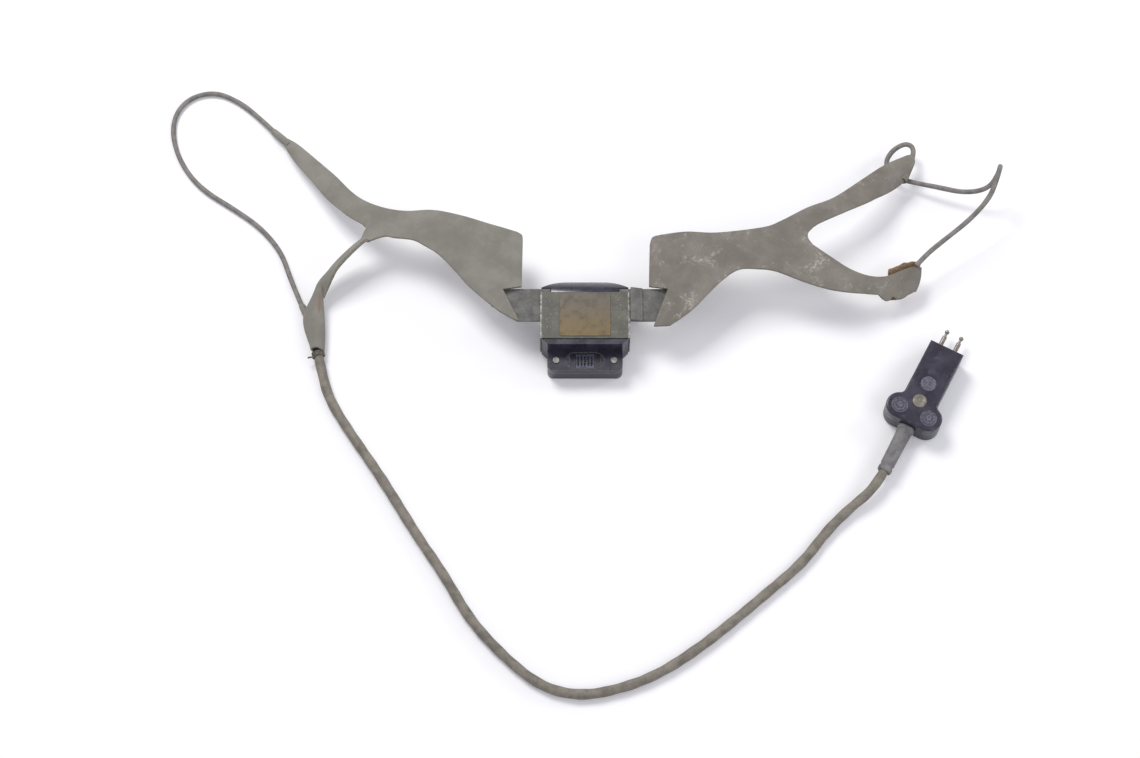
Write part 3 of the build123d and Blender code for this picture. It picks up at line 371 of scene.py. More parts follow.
# -------- mesh helpers
def smooth(points, steps=6):
    """A smooth line through all the given points, which starts and ends on them."""
    line = [Vector(point) for point in points]
    spread = [2 * line[0] - line[1], *line, 2 * line[-1] - line[-2]]
    found = []
    for a, b, c, d in zip(spread, spread[1:], spread[2:], spread[3:]):
        for k in range(steps):
            t = k / steps
            found.append(0.5 * (2 * b + (c - a) * t + (2 * a - 5 * b + 4 * c - d) * t * t
                                + (3 * b - a - 3 * c + d) * t ** 3))
    return found + [line[-1]]


def ease(value, low, high):
    """0 below low, 1 above high, smooth between."""
    t = min(1.0, max(0.0, (value - low) / (high - low)))
    return t * t * (3 - 2 * t)


def hump(x, middle, width):
    """1 at middle, falling smoothly to 0 a width away."""
    return 1 - ease(abs(x - middle), 0, width)


def link(name, mesh, materials, angle=35.0):
    """Object with smooth shading and sharp edges where its faces meet at more than the angle."""
    mesh.name = name
    for material in materials:
        mesh.materials.append(material)
    mesh.shade_smooth()
    mesh.set_sharp_from_angle(angle=radians(angle))
    piece = bpy.data.objects.new(name, mesh)
    bpy.context.collection.objects.link(piece)
    return piece


def skin(rows, wrap=True, capped=True):
    """Mesh over rows of points; each row is closed on itself where wrap is set."""
    count = len(rows[0])
    corners = [point for row in rows for point in row]
    last = count if wrap else count - 1
    faces = []
    for i in range(len(rows) - 1):
        for j in range(last):
            a, b = i * count + j, i * count + (j + 1) % count
            faces.append((a, b, b + count, a + count))
    if capped:
        faces.append(tuple(reversed(range(count))))
        faces.append(tuple(range(len(corners) - count, len(corners))))
    mesh = bpy.data.meshes.new("skin")
    mesh.from_pydata(corners, [], faces)
    return mesh


def baked(piece):
    """Replace a piece's mesh by what its modifiers make of it."""
    bpy.context.view_layer.update()
    graph = bpy.context.evaluated_depsgraph_get()
    made = bpy.data.meshes.new_from_object(piece.evaluated_get(graph))
    piece.modifiers.clear()
    piece.data = made
    return piece


def thicken(piece, thickness, rim=None, bevel=0.25):
    """Turn a sheet into cloth of that thickness below it, with worn corners along its edges."""
    solid = piece.modifiers.new("solid", "SOLIDIFY")
    solid.thickness = thickness * MM
    solid.offset = -1
    solid.use_even_offset = True
    if rim is not None:
        piece.data.materials.append(rim)
        solid.material_offset_rim = 1
    corner = piece.modifiers.new("corner", "BEVEL")
    corner.width = bevel * MM
    corner.segments = 2
    corner.limit_method = "ANGLE"
    corner.angle_limit = radians(50)
    return baked(piece)


def joined(meshes):
    """One mesh from several, each with its material index kept."""
    bm = bmesh.new()
    for mesh in meshes:
        bm.from_mesh(mesh)
    whole = bpy.data.meshes.new("joined")
    bm.to_mesh(whole)
    bm.free()
    return whole


# -------- cords
LEFT_LOOP = [
    (-0.1354, 0.0942, 0.0020), (-0.1420, 0.1012, 0.0014), (-0.1505, 0.1086, 0.00115),
    (-0.1610, 0.1136, 0.00115), (-0.1716, 0.1112, 0.00115), (-0.1782, 0.1028, 0.00115),
    (-0.1786, 0.0910, 0.00115), (-0.1736, 0.0774, 0.00115), (-0.1643, 0.0656, 0.00115),
    (-0.1506, 0.0566, 0.00115), (-0.1382, 0.0476, 0.00115), (-0.1284, 0.0356, 0.00115),
    (-0.1236, 0.0216, 0.0016), (-0.1182, 0.0094, 0.0026),
]
RIGHT_LOOP = [
    (0.1406, 0.0776, 0.0070), (0.1419, 0.0820, 0.0074), (0.1384, 0.0849, 0.0074),
    (0.1322, 0.0816, 0.0068), (0.1288, 0.0756, 0.0056), (0.1324, 0.0696, 0.0046),
    (0.1410, 0.0666, 0.0054), (0.1514, 0.0634, 0.0070), (0.1618, 0.0604, 0.0078),
    (0.1710, 0.0602, 0.0116), (0.1746, 0.0644, 0.0170), (0.1750, 0.0664, 0.0216),
    (0.1738, 0.0626, 0.0250), (0.1720, 0.0570, 0.0234), (0.1692, 0.0510, 0.0204),
    (0.1610, 0.0426, 0.0172), (0.1502, 0.0346, 0.0146), (0.1426, 0.0286, 0.0132),
    (0.1382, 0.0236, 0.0128),
]
MAIN_CORD = [
    (-0.1108, -0.0112, 0.0029), (-0.1089, -0.0200, 0.0021), (-0.1054, -0.0320, 0.0021),
    (-0.0964, -0.0466, 0.0021), (-0.0830, -0.0660, 0.0021), (-0.0675, -0.0915, 0.0021),
    (-0.0566, -0.1074, 0.0021), (-0.0458, -0.1264, 0.0021), (-0.0320, -0.1416, 0.0021),
    (-0.0176, -0.1536, 0.0021), (-0.0025, -0.1574, 0.0021), (0.0130, -0.1546, 0.0021),
    (0.0285, -0.1486, 0.0021), (0.0435, -0.1388, 0.0021), (0.0575, -0.1278, 0.0021),
    (0.0720, -0.1154, 0.0021), (0.0868, -0.1028, 0.0021), (0.0972, -0.0890, 0.0021),
    (0.1076, -0.0792, 0.0032), (0.1159, -0.0730, 0.0052), (0.12061, -0.06538, 0.0055),
]


def centreline(route):
    """Points along the NURBS spline that has the route's points as its control points."""
    curve = bpy.data.curves.new("centreline", "CURVE")
    curve.dimensions = "3D"
    curve.resolution_u = 16
    spline = curve.splines.new("NURBS")
    spline.points.add(len(route) - 1)
    for control, place in zip(spline.points, route):
        control.co = (*place, 1)
    spline.order_u = 3
    spline.use_endpoint_u = True
    holder = bpy.data.objects.new("centreline", curve)
    bpy.context.collection.objects.link(holder)
    bpy.context.view_layer.update()
    graph = bpy.context.evaluated_depsgraph_get()
    mesh = bpy.data.meshes.new_from_object(holder.evaluated_get(graph))
    line = [vertex.co.copy() for vertex in mesh.vertices]
    bpy.data.objects.remove(holder)
    return line


def tube(line, radius, sides=20):
    """Mesh tube along a line, where radius gives its size at a distance and an angle."""
    rows, travelled = [], 0.0
    across = (line[1] - line[0]).orthogonal().normalized()
    for i, point in enumerate(line):
        ahead = (line[min(i + 1, len(line) - 1)] - line[max(i - 1, 0)]).normalized()
        across = (across - ahead * across.dot(ahead)).normalized()
        upright = ahead.cross(across)
        if i:
            travelled += (point - line[i - 1]).length
        turns = [2 * pi * k / sides for k in range(sides)]
        rows.append([point + radius(travelled, a) * (cos(a) * across + sin(a) * upright) for a in turns])
    return skin(rows)


def lumpy(radius, twist, depth, wobble):
    """Radius of a twisted pair under its jacket: two soft ridges that wind round the cord."""
    def at(distance, angle):
        ridge = cos(2 * (angle - 2 * pi * distance / (twist * MM)))
        swell = sin(distance / (wobble * MM)) + 0.6 * sin(distance / (wobble * 0.37 * MM) + 1.3)
        return radius * (1 + depth * ridge + 0.018 * swell)
    return at


left_loop_line = centreline(LEFT_LOOP)
right_loop_line = centreline(RIGHT_LOOP)
main_line = centreline(MAIN_CORD)
loop_radius = lumpy(LOOP_DIAMETER / 2, 30, 0.02, 7)
cord_radius = lumpy(CORD_DIAMETER / 2, 19, 0.036, 9)
left_loop = link("left_loop_rubber", tube(left_loop_line, loop_radius, 14), [loop_rubber])
right_loop = link("right_loop_rubber", tube(right_loop_line, loop_radius, 14), [loop_rubber])
main_cord = link("main_cord_jacket", tube(main_line, cord_radius, 24), [main_jacket])
for piece, node, body, slot in (
    (left_loop, "left_ear_loop", "left_side", "loop"),
    (right_loop, "right_ear_loop", "right_side", "loop"),
    (main_cord, "main_cord", "left_side", "cord"),
):
    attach(piece, body)
    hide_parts(node)


# -------- wings
# Heights of the wings' upper faces along their middle lines: millimetres out, millimetres up.
LEFT, RIGHT = -1, 1
LEFT_RISE = [(26, 17.4), (38, 18.6), (52, 19.6), (64, 19.6), (75, 18.8), (84, 17.4), (92, 15.8), (99, 14.2),
             (106, 12.0), (115, 8.8), (123, 5.8), (131, 2.9)]
RIGHT_RISE = [(26, 17.4), (33, 18.4), (43, 19.8), (55, 20.9), (74, 21.3), (84, 20.9), (93, 20.3), (104, 18.9),
              (116, 16.8), (128, 14.0), (137, 11.6), (143, 10.0)]


def height_on(rise, x):
    """Height of a wing's upper face where its middle line is x millimetres out."""
    for (x0, z0), (x1, z1) in zip(rise, rise[1:]):
        if x <= x1:
            t = max(0.0, (x - x0) / (x1 - x0))
            return z0 + (z1 - z0) * t
    return rise[-1][1]


left_rise = [tuple(point) for point in smooth(LEFT_RISE)]
right_rise = [tuple(point) for point in smooth(RIGHT_RISE)]

# The left wing's lower branch is drawn straight in the flat outline, then laid along its own line.
BRANCH_ROOT = Vector((86.5, 38.2))
BRANCH_HEADING = Vector((0.93, -0.37)).normalized()
BRANCH_LEFT = Vector((-BRANCH_HEADING.y, BRANCH_HEADING.x))
BRANCH_START = 3.5
BRANCH_LINE = [(89.76, 36.9, 16.0), (95.0, 33.6, 14.0), (100.2, 29.3, 12.0), (104.6, 24.9, 10.2),
               (108.0, 20.4, 8.4), (110.2, 16.2, 6.8), (111.3, 12.0, 5.6)]
BRANCH_EDGE = [(4.4, 3.1), (9, 3.5), (16, 4.1), (26, 4.2), (33, 3.3), (38.6, 2.2)]
BRANCH_TWIST = radians(56)


def on_branch(along, across):
    """Point of the flat outline, given along and across the straightened branch."""
    return tuple(BRANCH_ROOT + BRANCH_HEADING * along + BRANCH_LEFT * across)


left_outline = [
    [(26.1, 12.0), (25.8, 33.2)],
    [(25.8, 33.2), (26.2, 35.6), (28.2, 37.0)],
    [(28.2, 37.0), (38.3, 39.9), (52.9, 43.7), (63.9, 46.2), (74.8, 46.2), (83.7, 48.2), (92.0, 52.4),
     (98.7, 58.0), (106.0, 66.8), (115.3, 77.2), (123.3, 85.4), (129.0, 89.6)],
    [(129.0, 89.6), (130.8, 89.4), (130.5, 87.1)],
    [(130.5, 87.1), (124.8, 77.4), (117.1, 66.9), (109.0, 55.8), (101.3, 47.9), (95.2, 43.2)],
    [(95.2, 43.2), (92.4, 41.0), (91.6, 39.6), on_branch(*BRANCH_EDGE[0])],
    [on_branch(*edge) for edge in BRANCH_EDGE],
    [on_branch(s, t) for s, t in ((38.6, 2.2), (38.6, -2.2))],
    [on_branch(s, -t) for s, t in reversed(BRANCH_EDGE)]
    + [(83.5, 35.2), (79.5, 34.3), (71.9, 32.9), (66.8, 29.9), (60.0, 25.1), (52.4, 16.9), (47.4, 11.0),
       (36.5, 1.5), (30.5, -2.3)],
    [(30.5, -2.3), (28.6, -3.1), (27.2, -3.4)],
    [(27.2, -3.4), (33.9, 10.4)],
    [(33.9, 10.4), (26.1, 12.0)],
]
right_outline = [
    [(26.4, 12.0), (26.7, 22.0), (27.0, 31.0)],
    [(27.0, 31.0), (28.2, 34.4), (32.0, 35.4)],
    [(32.0, 35.4), (42.5, 36.0), (55.3, 35.1), (74.0, 37.2), (82.1, 40.6), (93.1, 47.1), (104.3, 52.5),
     (115.7, 61.2), (127.6, 70.8), (137.6, 76.6)],
    [(137.6, 76.6), (140.4, 77.2), (141.0, 74.6)],
    [(141.0, 74.6), (139.0, 69.7), (134.6, 63.7), (122.7, 53.9), (108.9, 46.3), (98.9, 40.9), (95.6, 38.6)],
    [(95.6, 38.6), (93.2, 35.8), (92.8, 33.0), (94.6, 30.0)],
    [(94.6, 30.0), (101.1, 25.2), (108.9, 20.3), (116.6, 18.2), (124.5, 18.6), (131.0, 21.0), (136.0, 23.0),
     (140.6, 23.4)],
    [(140.6, 23.4), (140.4, 20.0), (139.6, 16.8), (138.3, 13.9)],
    [(138.3, 13.9), (135.6, 12.9), (133.4, 11.2), (130.6, 10.1), (128.4, 10.9), (126.2, 9.0), (124.0, 9.6),
     (122.4, 11.0)],
    [(122.4, 11.0), (117.0, 10.4), (108.5, 9.5), (100.4, 10.0), (90.6, 12.7), (79.2, 17.4), (71.3, 18.3),
     (63.5, 17.9), (56.8, 13.5), (50.5, 7.3), (44.7, 1.3), (39.7, -2.5), (35.8, -5.0)],
    [(35.8, -5.0), (34.0, -5.8), (28.2, -5.7)],
    [(28.2, -5.7), (34.2, 10.4)],
    [(34.2, 10.4), (26.4, 12.0)],
]


class Line3:
    """A smooth line in space that gives its point and heading at a distance from its start."""

    def __init__(self, points):
        self.points = smooth(points, 8)
        self.far = [0.0]
        for a, b in zip(self.points, self.points[1:]):
            self.far.append(self.far[-1] + (b - a).length)

    def at(self, distance):
        last = len(self.points) - 2
        i = max(0, min(last, sum(1 for far in self.far if far <= distance) - 1))
        a, b = self.points[i], self.points[i + 1]
        share = (distance - self.far[i]) / (self.far[i + 1] - self.far[i])
        return a + (b - a) * share, (b - a).normalized()


branch_line = Line3(BRANCH_LINE)


def left_surface(x, y):
    """Place of a point of the left wing's flat outline, x outwards."""
    z = height_on(left_rise, x)
    z += 0.7 * hump(x, 58, 22) * hump(y, 40, 16) - 0.9 * ease(20 - y, 0, 24) * ease(x, 34, 50)
    z += 0.25 * sin(x / 5.5 + y / 9) * ease(x, 30, 44)
    z -= 1.1 * ease(abs(y - 1.19 * x + 68), 2, 9) * ease(x, 98, 112)
    placed = Vector((x, y, z))
    away = Vector((x, y)) - BRANCH_ROOT
    along, across = away.dot(BRANCH_HEADING), away.dot(BRANCH_LEFT)
    if along <= BRANCH_START or abs(across) > BRANCH_HALF:
        return placed
    centre, heading = branch_line.at(along - BRANCH_START)
    level = Vector((-heading.y, heading.x, 0)).normalized()
    turned = BRANCH_TWIST * ease(along, BRANCH_START - 2, 7.5) * (1 - 0.66 * ease(along, 25, 38))
    side = cos(turned) * level - sin(turned) * Vector((0, 0, 1))
    return placed.lerp(centre + side * across, ease(along, BRANCH_START, 7))


def right_surface(x, y):
    """Place of a point of the right wing's flat outline, x outwards."""
    z = height_on(right_rise, x)
    z += 0.5 * hump(x, 60, 20) * hump(y, 26, 14) - 0.7 * ease(12 - y, 0, 16) * (1 - ease(x, 60, 80))
    z += 0.22 * sin(x / 6.0 - y / 8) * ease(x, 30, 44)
    if y < 36:
        z -= END_LEAN * ease(x, 104, 134) * max(0.0, 25.0 - y)
        z += 1.6 * ease(x, 118, 138)
    else:
        edge = y - (0.80 * (x - 104) + 48.5)
        z -= 0.045 * edge * edge * ease(x, 118, 136)
    return Vector((x, y, z))


def cloth_sheet(name, side, outline, surface, materials, cell=1.6):
    """Sheet cut to the outline, divided into cells, lifted to its surface and thickened."""
    border = []
    for run in outline:
        border += smooth(run, 5 if len(run) > 2 else 1)[:-1]
    bm = bmesh.new()
    bm.faces.new([bm.verts.new((point.x, point.y, 0)) for point in border])
    for axis in (0, 1):
        low = min(point[axis] for point in border)
        high = max(point[axis] for point in border)
        normal = Vector((1 - axis, axis, 0))
        for k in range(1, ceil((high - low) / cell)):
            everything = bm.verts[:] + bm.edges[:] + bm.faces[:]
            bmesh.ops.bisect_plane(bm, geom=everything, plane_co=normal * (low + k * cell), plane_no=normal,
                                   dist=1e-4)
    bmesh.ops.remove_doubles(bm, verts=bm.verts[:], dist=0.05)
    for vertex in bm.verts:
        place = surface(vertex.co.x, vertex.co.y)
        vertex.co = Vector((side * place.x, place.y, place.z)) * MM
    bmesh.ops.recalc_face_normals(bm, faces=bm.faces[:])
    if sum(face.normal.z for face in bm.faces) < 0:
        bmesh.ops.reverse_faces(bm, faces=bm.faces[:])
    mesh = bpy.data.meshes.new(name)
    bm.to_mesh(mesh)
    bm.free()
    piece = link(name, mesh, materials[:1])
    thicken(piece, FABRIC, materials[1])
    piece.data.shade_smooth()
    piece.data.set_sharp_from_angle(angle=radians(35))
    return piece


left_wing = cloth_sheet("left_wing_cloth", LEFT, left_outline, left_surface, [left_cloth, pale_edge])
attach(left_wing, "left_side")
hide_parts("left_wing")
right_wing = cloth_sheet("right_wing_cloth", RIGHT, right_outline, right_surface, [right_cloth, pale_edge])
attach(right_wing, "right_side")
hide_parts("right_wing")


# -------- branch ends
def left_leaf():
    """End of the left lower branch, wrapped round the cords: a flap on the left, a tube on the right."""
    stations = [  # y, x of the flap's edge, x of the tube's right side, z of its middle, its radius
        (16.4, -111.6, -109.7, 6.9, 1.1),
        (13.6, -113.0, -109.6, 6.2, 1.7),
        (10.6, -115.0, -109.5, 5.2, 2.2),
        (7.2, -116.6, -109.1, 4.4, 2.5),
        (3.0, -117.5, -108.7, 3.7, 2.7),
        (-1.0, -116.9, -108.4, 3.3, 2.75),
        (-4.6, -115.4, -108.3, 3.1, 2.75),
        (-8.2, -113.9, -108.3, 3.0, 2.7),
        (-10.8, -113.0, -108.4, 2.95, 2.65),
    ]
    rows = []
    for y, flap, right, middle, radius in smooth([Vector(s) for s in stations], 5):
        x = right - radius
        seam = x - radius
        row = [(flap, middle - 0.2 * radius), (flap * 0.66 + seam * 0.34, middle + 0.42 * radius),
               (flap * 0.3 + seam * 0.7, middle + 0.62 * radius)]
        for turn in range(140, -101, -20):
            row.append((x + radius * cos(radians(turn)), middle + radius * sin(radians(turn))))
        row += [(flap * 0.5 + seam * 0.5, middle - 0.80 * radius), (flap + 0.6, middle - 0.55 * radius)]
        rows.append([Vector((px, y + 0.5 * sin(px), max(0.75, pz))) * MM for px, pz in row])
    piece = link("left_leaf_cloth", skin(rows, wrap=False, capped=False), [leaf_cloth])
    return thicken_both(piece, pale_edge)


def thicken_both(piece, rim, thickness=0.9):
    """Thicken a wrapped sheet about its middle, so that neither side leaves its place."""
    solid = piece.modifiers.new("solid", "SOLIDIFY")
    solid.thickness = thickness * MM
    solid.offset = 0
    piece.data.materials.append(rim)
    solid.material_offset_rim = 1
    rounded = piece.modifiers.new("rounded", "SUBSURF")
    rounded.levels = rounded.render_levels = 1
    baked(piece)
    piece.data.shade_smooth()
    piece.data.set_sharp_from_angle(angle=radians(50))
    return piece


leaf = left_leaf()
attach(leaf, "left_side")
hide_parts("left_cuff")


def right_fold():
    """Back layer of the right lower branch's end, folded up behind it round the ear loop's end."""
    top_edge = [(126.5, 19.4, 0), (131.0, 21.0, 0), (136.0, 23.0, 0), (140.4, 23.4, 0)]
    low_edge = [(126.5, 9.8, 0), (131.0, 10.6, 0), (135.6, 13.0, 0), (138.6, 14.6, 0)]
    section = [  # part of the way from the top edge to the low one, distance off the wing's face
        (-0.24, -2.5), (-0.06, -3.0), (0.12, -3.6), (0.3, -3.8), (0.5, -3.7), (0.7, -3.4), (0.86, -3.0),
        (0.97, -2.5), (1.0, -1.8), (0.98, -1.2),
    ]
    rows = []
    for top, low in zip(smooth(top_edge, 4), smooth(low_edge, 4)):
        slope = atan2(END_LEAN * ease(top.x, 104, 134), 1)
        out = Vector((0, -sin(slope), cos(slope)))
        ragged = 0.35 * sin(top.x * 1.9) + 0.25 * sin(top.x * 4.1)
        row = []
        for t, lift in section:
            across = top.lerp(low, t)
            base = right_surface(across.x, across.y + (ragged if t < 0 else 0.0))
            row.append(base + out * lift)
        rows.append([Vector((p.x, p.y, max(1.0, p.z))) * MM for p in row])
    piece = link("right_fold_cloth", skin(rows, wrap=False, capped=False), [brown_edge])
    return thicken_both(piece, brown_edge, 1.0)


fold = right_fold()
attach(fold, "right_side")
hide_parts("right_cuff")


def rolled_tip(name, start, end, radius, material):
    """Branch tip rolled round a cord: a tapering roll of cloth with its lap along one side."""
    start, end = Vector(start), Vector(end)
    ahead = (end - start).normalized()
    level = ahead.cross(Vector((0, 0, 1))).normalized()
    upright = level.cross(ahead)
    rows = []
    for k in range(13):
        t = k / 12
        size = radius * (1.12 - 0.22 * t) * (1 - 0.3 * ease(t, 0.86, 1.0))
        row = []
        for j in range(22):
            angle = radians(-60 + j * 20)
            grow = size * (0.80 + 0.20 * j / 21)
            row.append(start + (end - start) * t + grow * (cos(angle) * level + sin(angle) * upright))
        rows.append([p * MM for p in row])
    piece = link(name, skin(rows, wrap=False, capped=False), [material])
    return thicken_both(piece, pale_edge, 0.5)


left_tip = rolled_tip("left_tip_roll", (-127.4, 86.2, 3.2), (-135.4, 94.2, 2.0), 1.50, left_cloth)
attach(left_tip, "left_side")
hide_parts("left_tip_sleeve")
collar = rolled_tip("left_loop_collar", (-115.0, 3.4, 2.8), (-118.75, 10.6, 2.5), 1.45, leaf_cloth)
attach(collar, "left_side")
right_tip = rolled_tip("right_tip_roll", (135.2, 66.0, 8.4), (140.6, 77.6, 7.0), 1.95, right_cloth)
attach(right_tip, "right_side")
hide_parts("right_tip_sleeve")


# -------- straps
def webbing(side, inner, outer, top, thickness, low, high, slant=0.0, corner=None):
    """Webbing strap as a closed slab with ribs woven across it, raised in real relief.

    A slant moves its outer end along Y, and a corner cuts its outer end off aslant from there.
    """
    rows = []
    across = ceil((high - low) / (STRAP_RIB / 4))
    count = ceil((outer - inner) / (STRAP_RIB / 4))
    for i in range(count + 1):
        upper = []
        for j in range(across + 1):
            y = low + (high - low) * j / across
            far = outer if corner is None else min(outer, corner + 1.5 * (y - low))
            x = inner + (far - inner) * i / count
            weave = 0.5 * cos(2 * pi * (y + 0.5 * STRAP_RIB * (ceil(x / STRAP_RIB) % 2)) / STRAP_RIB)
            rib = 0.07 * weave * abs(sin(pi * x / STRAP_RIB)) ** 0.5
            edge = 0.12 * ease(min(y - low, high - y), 0.7, 0.0)
            upper.append(Vector((side * x, y + slant * ease(x, inner, outer), top + rib - edge)))
        under = [Vector((p.x, p.y, top - thickness + 0.05)) for p in reversed(upper)]
        rows.append([p * MM for p in upper + under])
    return skin(rows)


def stitches(side, x, top, low, high, pitch=1.5):
    """Row of lockstitch threads across a strap."""
    made = []
    y = low + pitch
    while y < high - pitch / 2:
        ends = [Vector((side * x, y - 0.5 * pitch * 0.8, top - 0.10)), Vector((side * x, y, top + 0.16)),
                Vector((side * x, y + 0.5 * pitch * 0.8, top - 0.10))]
        thread = tube([p * MM for p in smooth(ends, 4)], lambda distance, angle: 0.14 * MM, 8)
        for face in thread.polygons:
            face.material_index = 1
        made.append(thread)
        y += pitch
    return made


strap_low, strap_high = (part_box("left_strap")[k].y / MM for k in (0, 1))
strap_foot, strap_top = (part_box("left_strap")[k].z / MM for k in (0, 1))
strap_inner, strap_outer = -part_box("left_strap")[1].x / MM, -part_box("left_strap")[0].x / MM
band_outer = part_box("retaining_band")[1].x / MM
for side, body, node in ((LEFT, "left_side", "left_strap"), (RIGHT, "right_side", "right_strap")):
    meshes = [webbing(side, strap_inner, strap_outer, strap_top - 0.03, strap_top - strap_foot, strap_low,
                      strap_high, corner=STRAP_CORNER[side])]
    if side == LEFT:
        meshes += stitches(side, band_outer + 3.2, strap_top, strap_low, strap_high)
    else:
        second_top = strap_top + SECOND_PLY_RISE
        meshes.append(webbing(side, band_outer + 0.3, band_outer + 5.2, second_top, SECOND_PLY,
                              strap_low + 0.4, strap_high + 0.5, -0.5))
        meshes += stitches(side, band_outer + 4.3, second_top, strap_low + 0.2, strap_high - 0.2)
    strap = link(node + "_webbing", joined(meshes), [strap_cloth, strap_thread], 60)
    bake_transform(strap)
    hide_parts(node)


# -------- microphone details
def soften(node, width, segments=3, angle=35.0):
    """Round a CAD piece's sharp edges for the look, without touching its mesh."""
    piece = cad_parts[node]
    weld = piece.modifiers.new("weld", "WELD")
    weld.merge_threshold = 0.002 * MM
    corner = piece.modifiers.new("corner", "BEVEL")
    corner.width = width * MM
    corner.segments = segments
    corner.limit_method = "ANGLE"
    corner.angle_limit = radians(angle)
    corner.harden_normals = True


half_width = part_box("retaining_band")[1].x
band_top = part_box("retaining_band")[1].z
label_low, label_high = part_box("label_plate")
paint = worn_paint(half_width, band_top)
plate = bronze_plate(label_low.y, label_high.y)
node_finish = {
    "front_case": case_finish, "rear_case": case_finish, "case_gasket": felt, "front_grille": grille_finish,
    "rear_grille": grille_finish, "front_screen": felt, "rear_screen": felt, "tab_rivets": steel,
    "case_screws": steel, "retaining_band": paint, "label_plate": plate, "diaphragm": foil,
    "diaphragm_ring": brass, "front_electrode": carbon, "felt_washer": felt, "carbon_cup": brass,
    "carbon_granules": carbon, "button_bridge": disc_finish, "cup_nut": brass, "contact_springs": brass,
    "terminal_screws": brass, "bridge_screws": steel, "plug_lower_shell": plug_finish,
    "plug_upper_shell": plug_finish, "plug_centre_screw": tan_screw, "plug_nut": steel,
    "plug_lobe_screws": disc_finish, "plug_insert": disc_finish, "plug_pins": pin_metal,
    "plug_cord_clamp": steel,
}
for node, finish in node_finish.items():
    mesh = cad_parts[node].data
    mesh.materials.clear()
    mesh.materials.append(finish)

rounding = {
    "front_case": 0.5, "rear_case": 0.35, "plug_upper_shell": 0.3, "retaining_band": 0.12,
    "label_plate": 0.1, "tab_rivets": 0.25, "front_grille": 0.12,
}
for node, width in rounding.items():
    soften(node, width)


def bracket_ribs():
    """Moulded ribs in the tab's recess: two bows and three cross ribs at each end, and a rim round all."""
    grille_low, grille_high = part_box("front_grille")
    middle_y = (grille_low.y + grille_high.y) / 2 / MM
    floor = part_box("tab_rivets")[1].z / MM - 1.2

    def round_end(side, centre, radius, degrees, height):
        """Point on an arc about one end of the recess."""
        angle = radians(degrees)
        return Vector((side * (centre + radius * cos(angle)), middle_y + radius * sin(angle), height)) * MM

    made = []
    for side in (LEFT, RIGHT):
        for radius, reach in ((2.9, 58), (2.0, 50)):
            bow = [round_end(side, 4.6, radius, a, floor) for a in range(-reach, reach + 1, 8)]
            made.append(tube(bow, lambda distance, angle: 0.28 * MM, 10))
        for a in (-34, 0, 34):
            spoke = [round_end(side, 4.6, radius, a, floor) for radius in (1.9, 2.4, 3.0)]
            made.append(tube(spoke, lambda distance, angle: 0.24 * MM, 8))
    rim = [round_end(side, 4.4, 3.5, side * a, floor + 0.62)
           for side in (RIGHT, LEFT) for a in range(-90, 91, 12)]
    made.append(tube(rim + rim[:2], lambda distance, angle: 0.20 * MM, 8))
    return joined(made)


ribs = link("tab_recess_ribs", bracket_ribs(), [bracket_finish])
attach(ribs, "microphone")


# -------- plug details
screw_low, screw_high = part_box("plug_centre_screw")
screw_middle = (screw_low + screw_high) / 2 / MM


def plug_point(x, y, z):
    """Point in the plug's own axes, x across it and y along it from the pin face, in millimetres."""
    back = y + CENTRE_SCREW_BACK
    return Vector((screw_middle.x + x * cos(PLUG_TURN) + back * sin(PLUG_TURN),
                   screw_middle.y - x * sin(PLUG_TURN) + back * cos(PLUG_TURN), z))


def turned_disc(name, x, y, profile, finish, node):
    """Disc turned on a lathe from its profile of (radius, height above the plug's face)."""
    rows = []
    turns = [2 * pi * k / 48 for k in range(48)]
    for radius, height in profile:
        z = PLUG_THICKNESS + height
        rows.append([plug_point(x + radius * cos(a), y + radius * sin(a), z) * MM for a in turns])
    piece = link(name, skin(rows), [finish], 50)
    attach(piece, "left_side")
    if node:
        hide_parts(node)
    return piece


ringed = [(3.48, -1.1), (3.48, -0.12), (3.30, -0.02), (3.05, -0.06), (2.90, -0.30), (2.65, -0.34),
          (2.50, -0.05), (2.10, 0.02), (1.85, -0.06), (1.70, -0.32), (1.45, -0.34), (1.30, -0.08),
          (0.80, -0.02), (0.55, -0.22), (0.10, -0.26)]
plain = [(3.28, -1.1), (3.28, -0.10), (3.10, 0.04), (2.60, 0.08), (2.45, -0.02), (1.20, -0.04), (0.10, -0.02)]
headed = [(2.88, -1.1), (2.88, 0.14), (2.68, 0.30), (2.20, 0.34), (2.05, 0.20), (0.90, 0.18), (0.10, 0.20)]
for word, side, node in (("left", LEFT, "plug_lobe_screws"), ("right", RIGHT, None)):
    turned_disc(f"plug_lobe_disc_{word}", side * LOBE_SCREW_OUT, -LOBE_SCREW_BACK, ringed,
                             disc_finish, node)
insert = turned_disc("plug_insert_disc", 0, -INSERT_BACK, plain, disc_finish, "plug_insert")
screw_head = turned_disc("plug_screw_head", 0, -CENTRE_SCREW_BACK, headed, tan_screw, "plug_centre_screw")


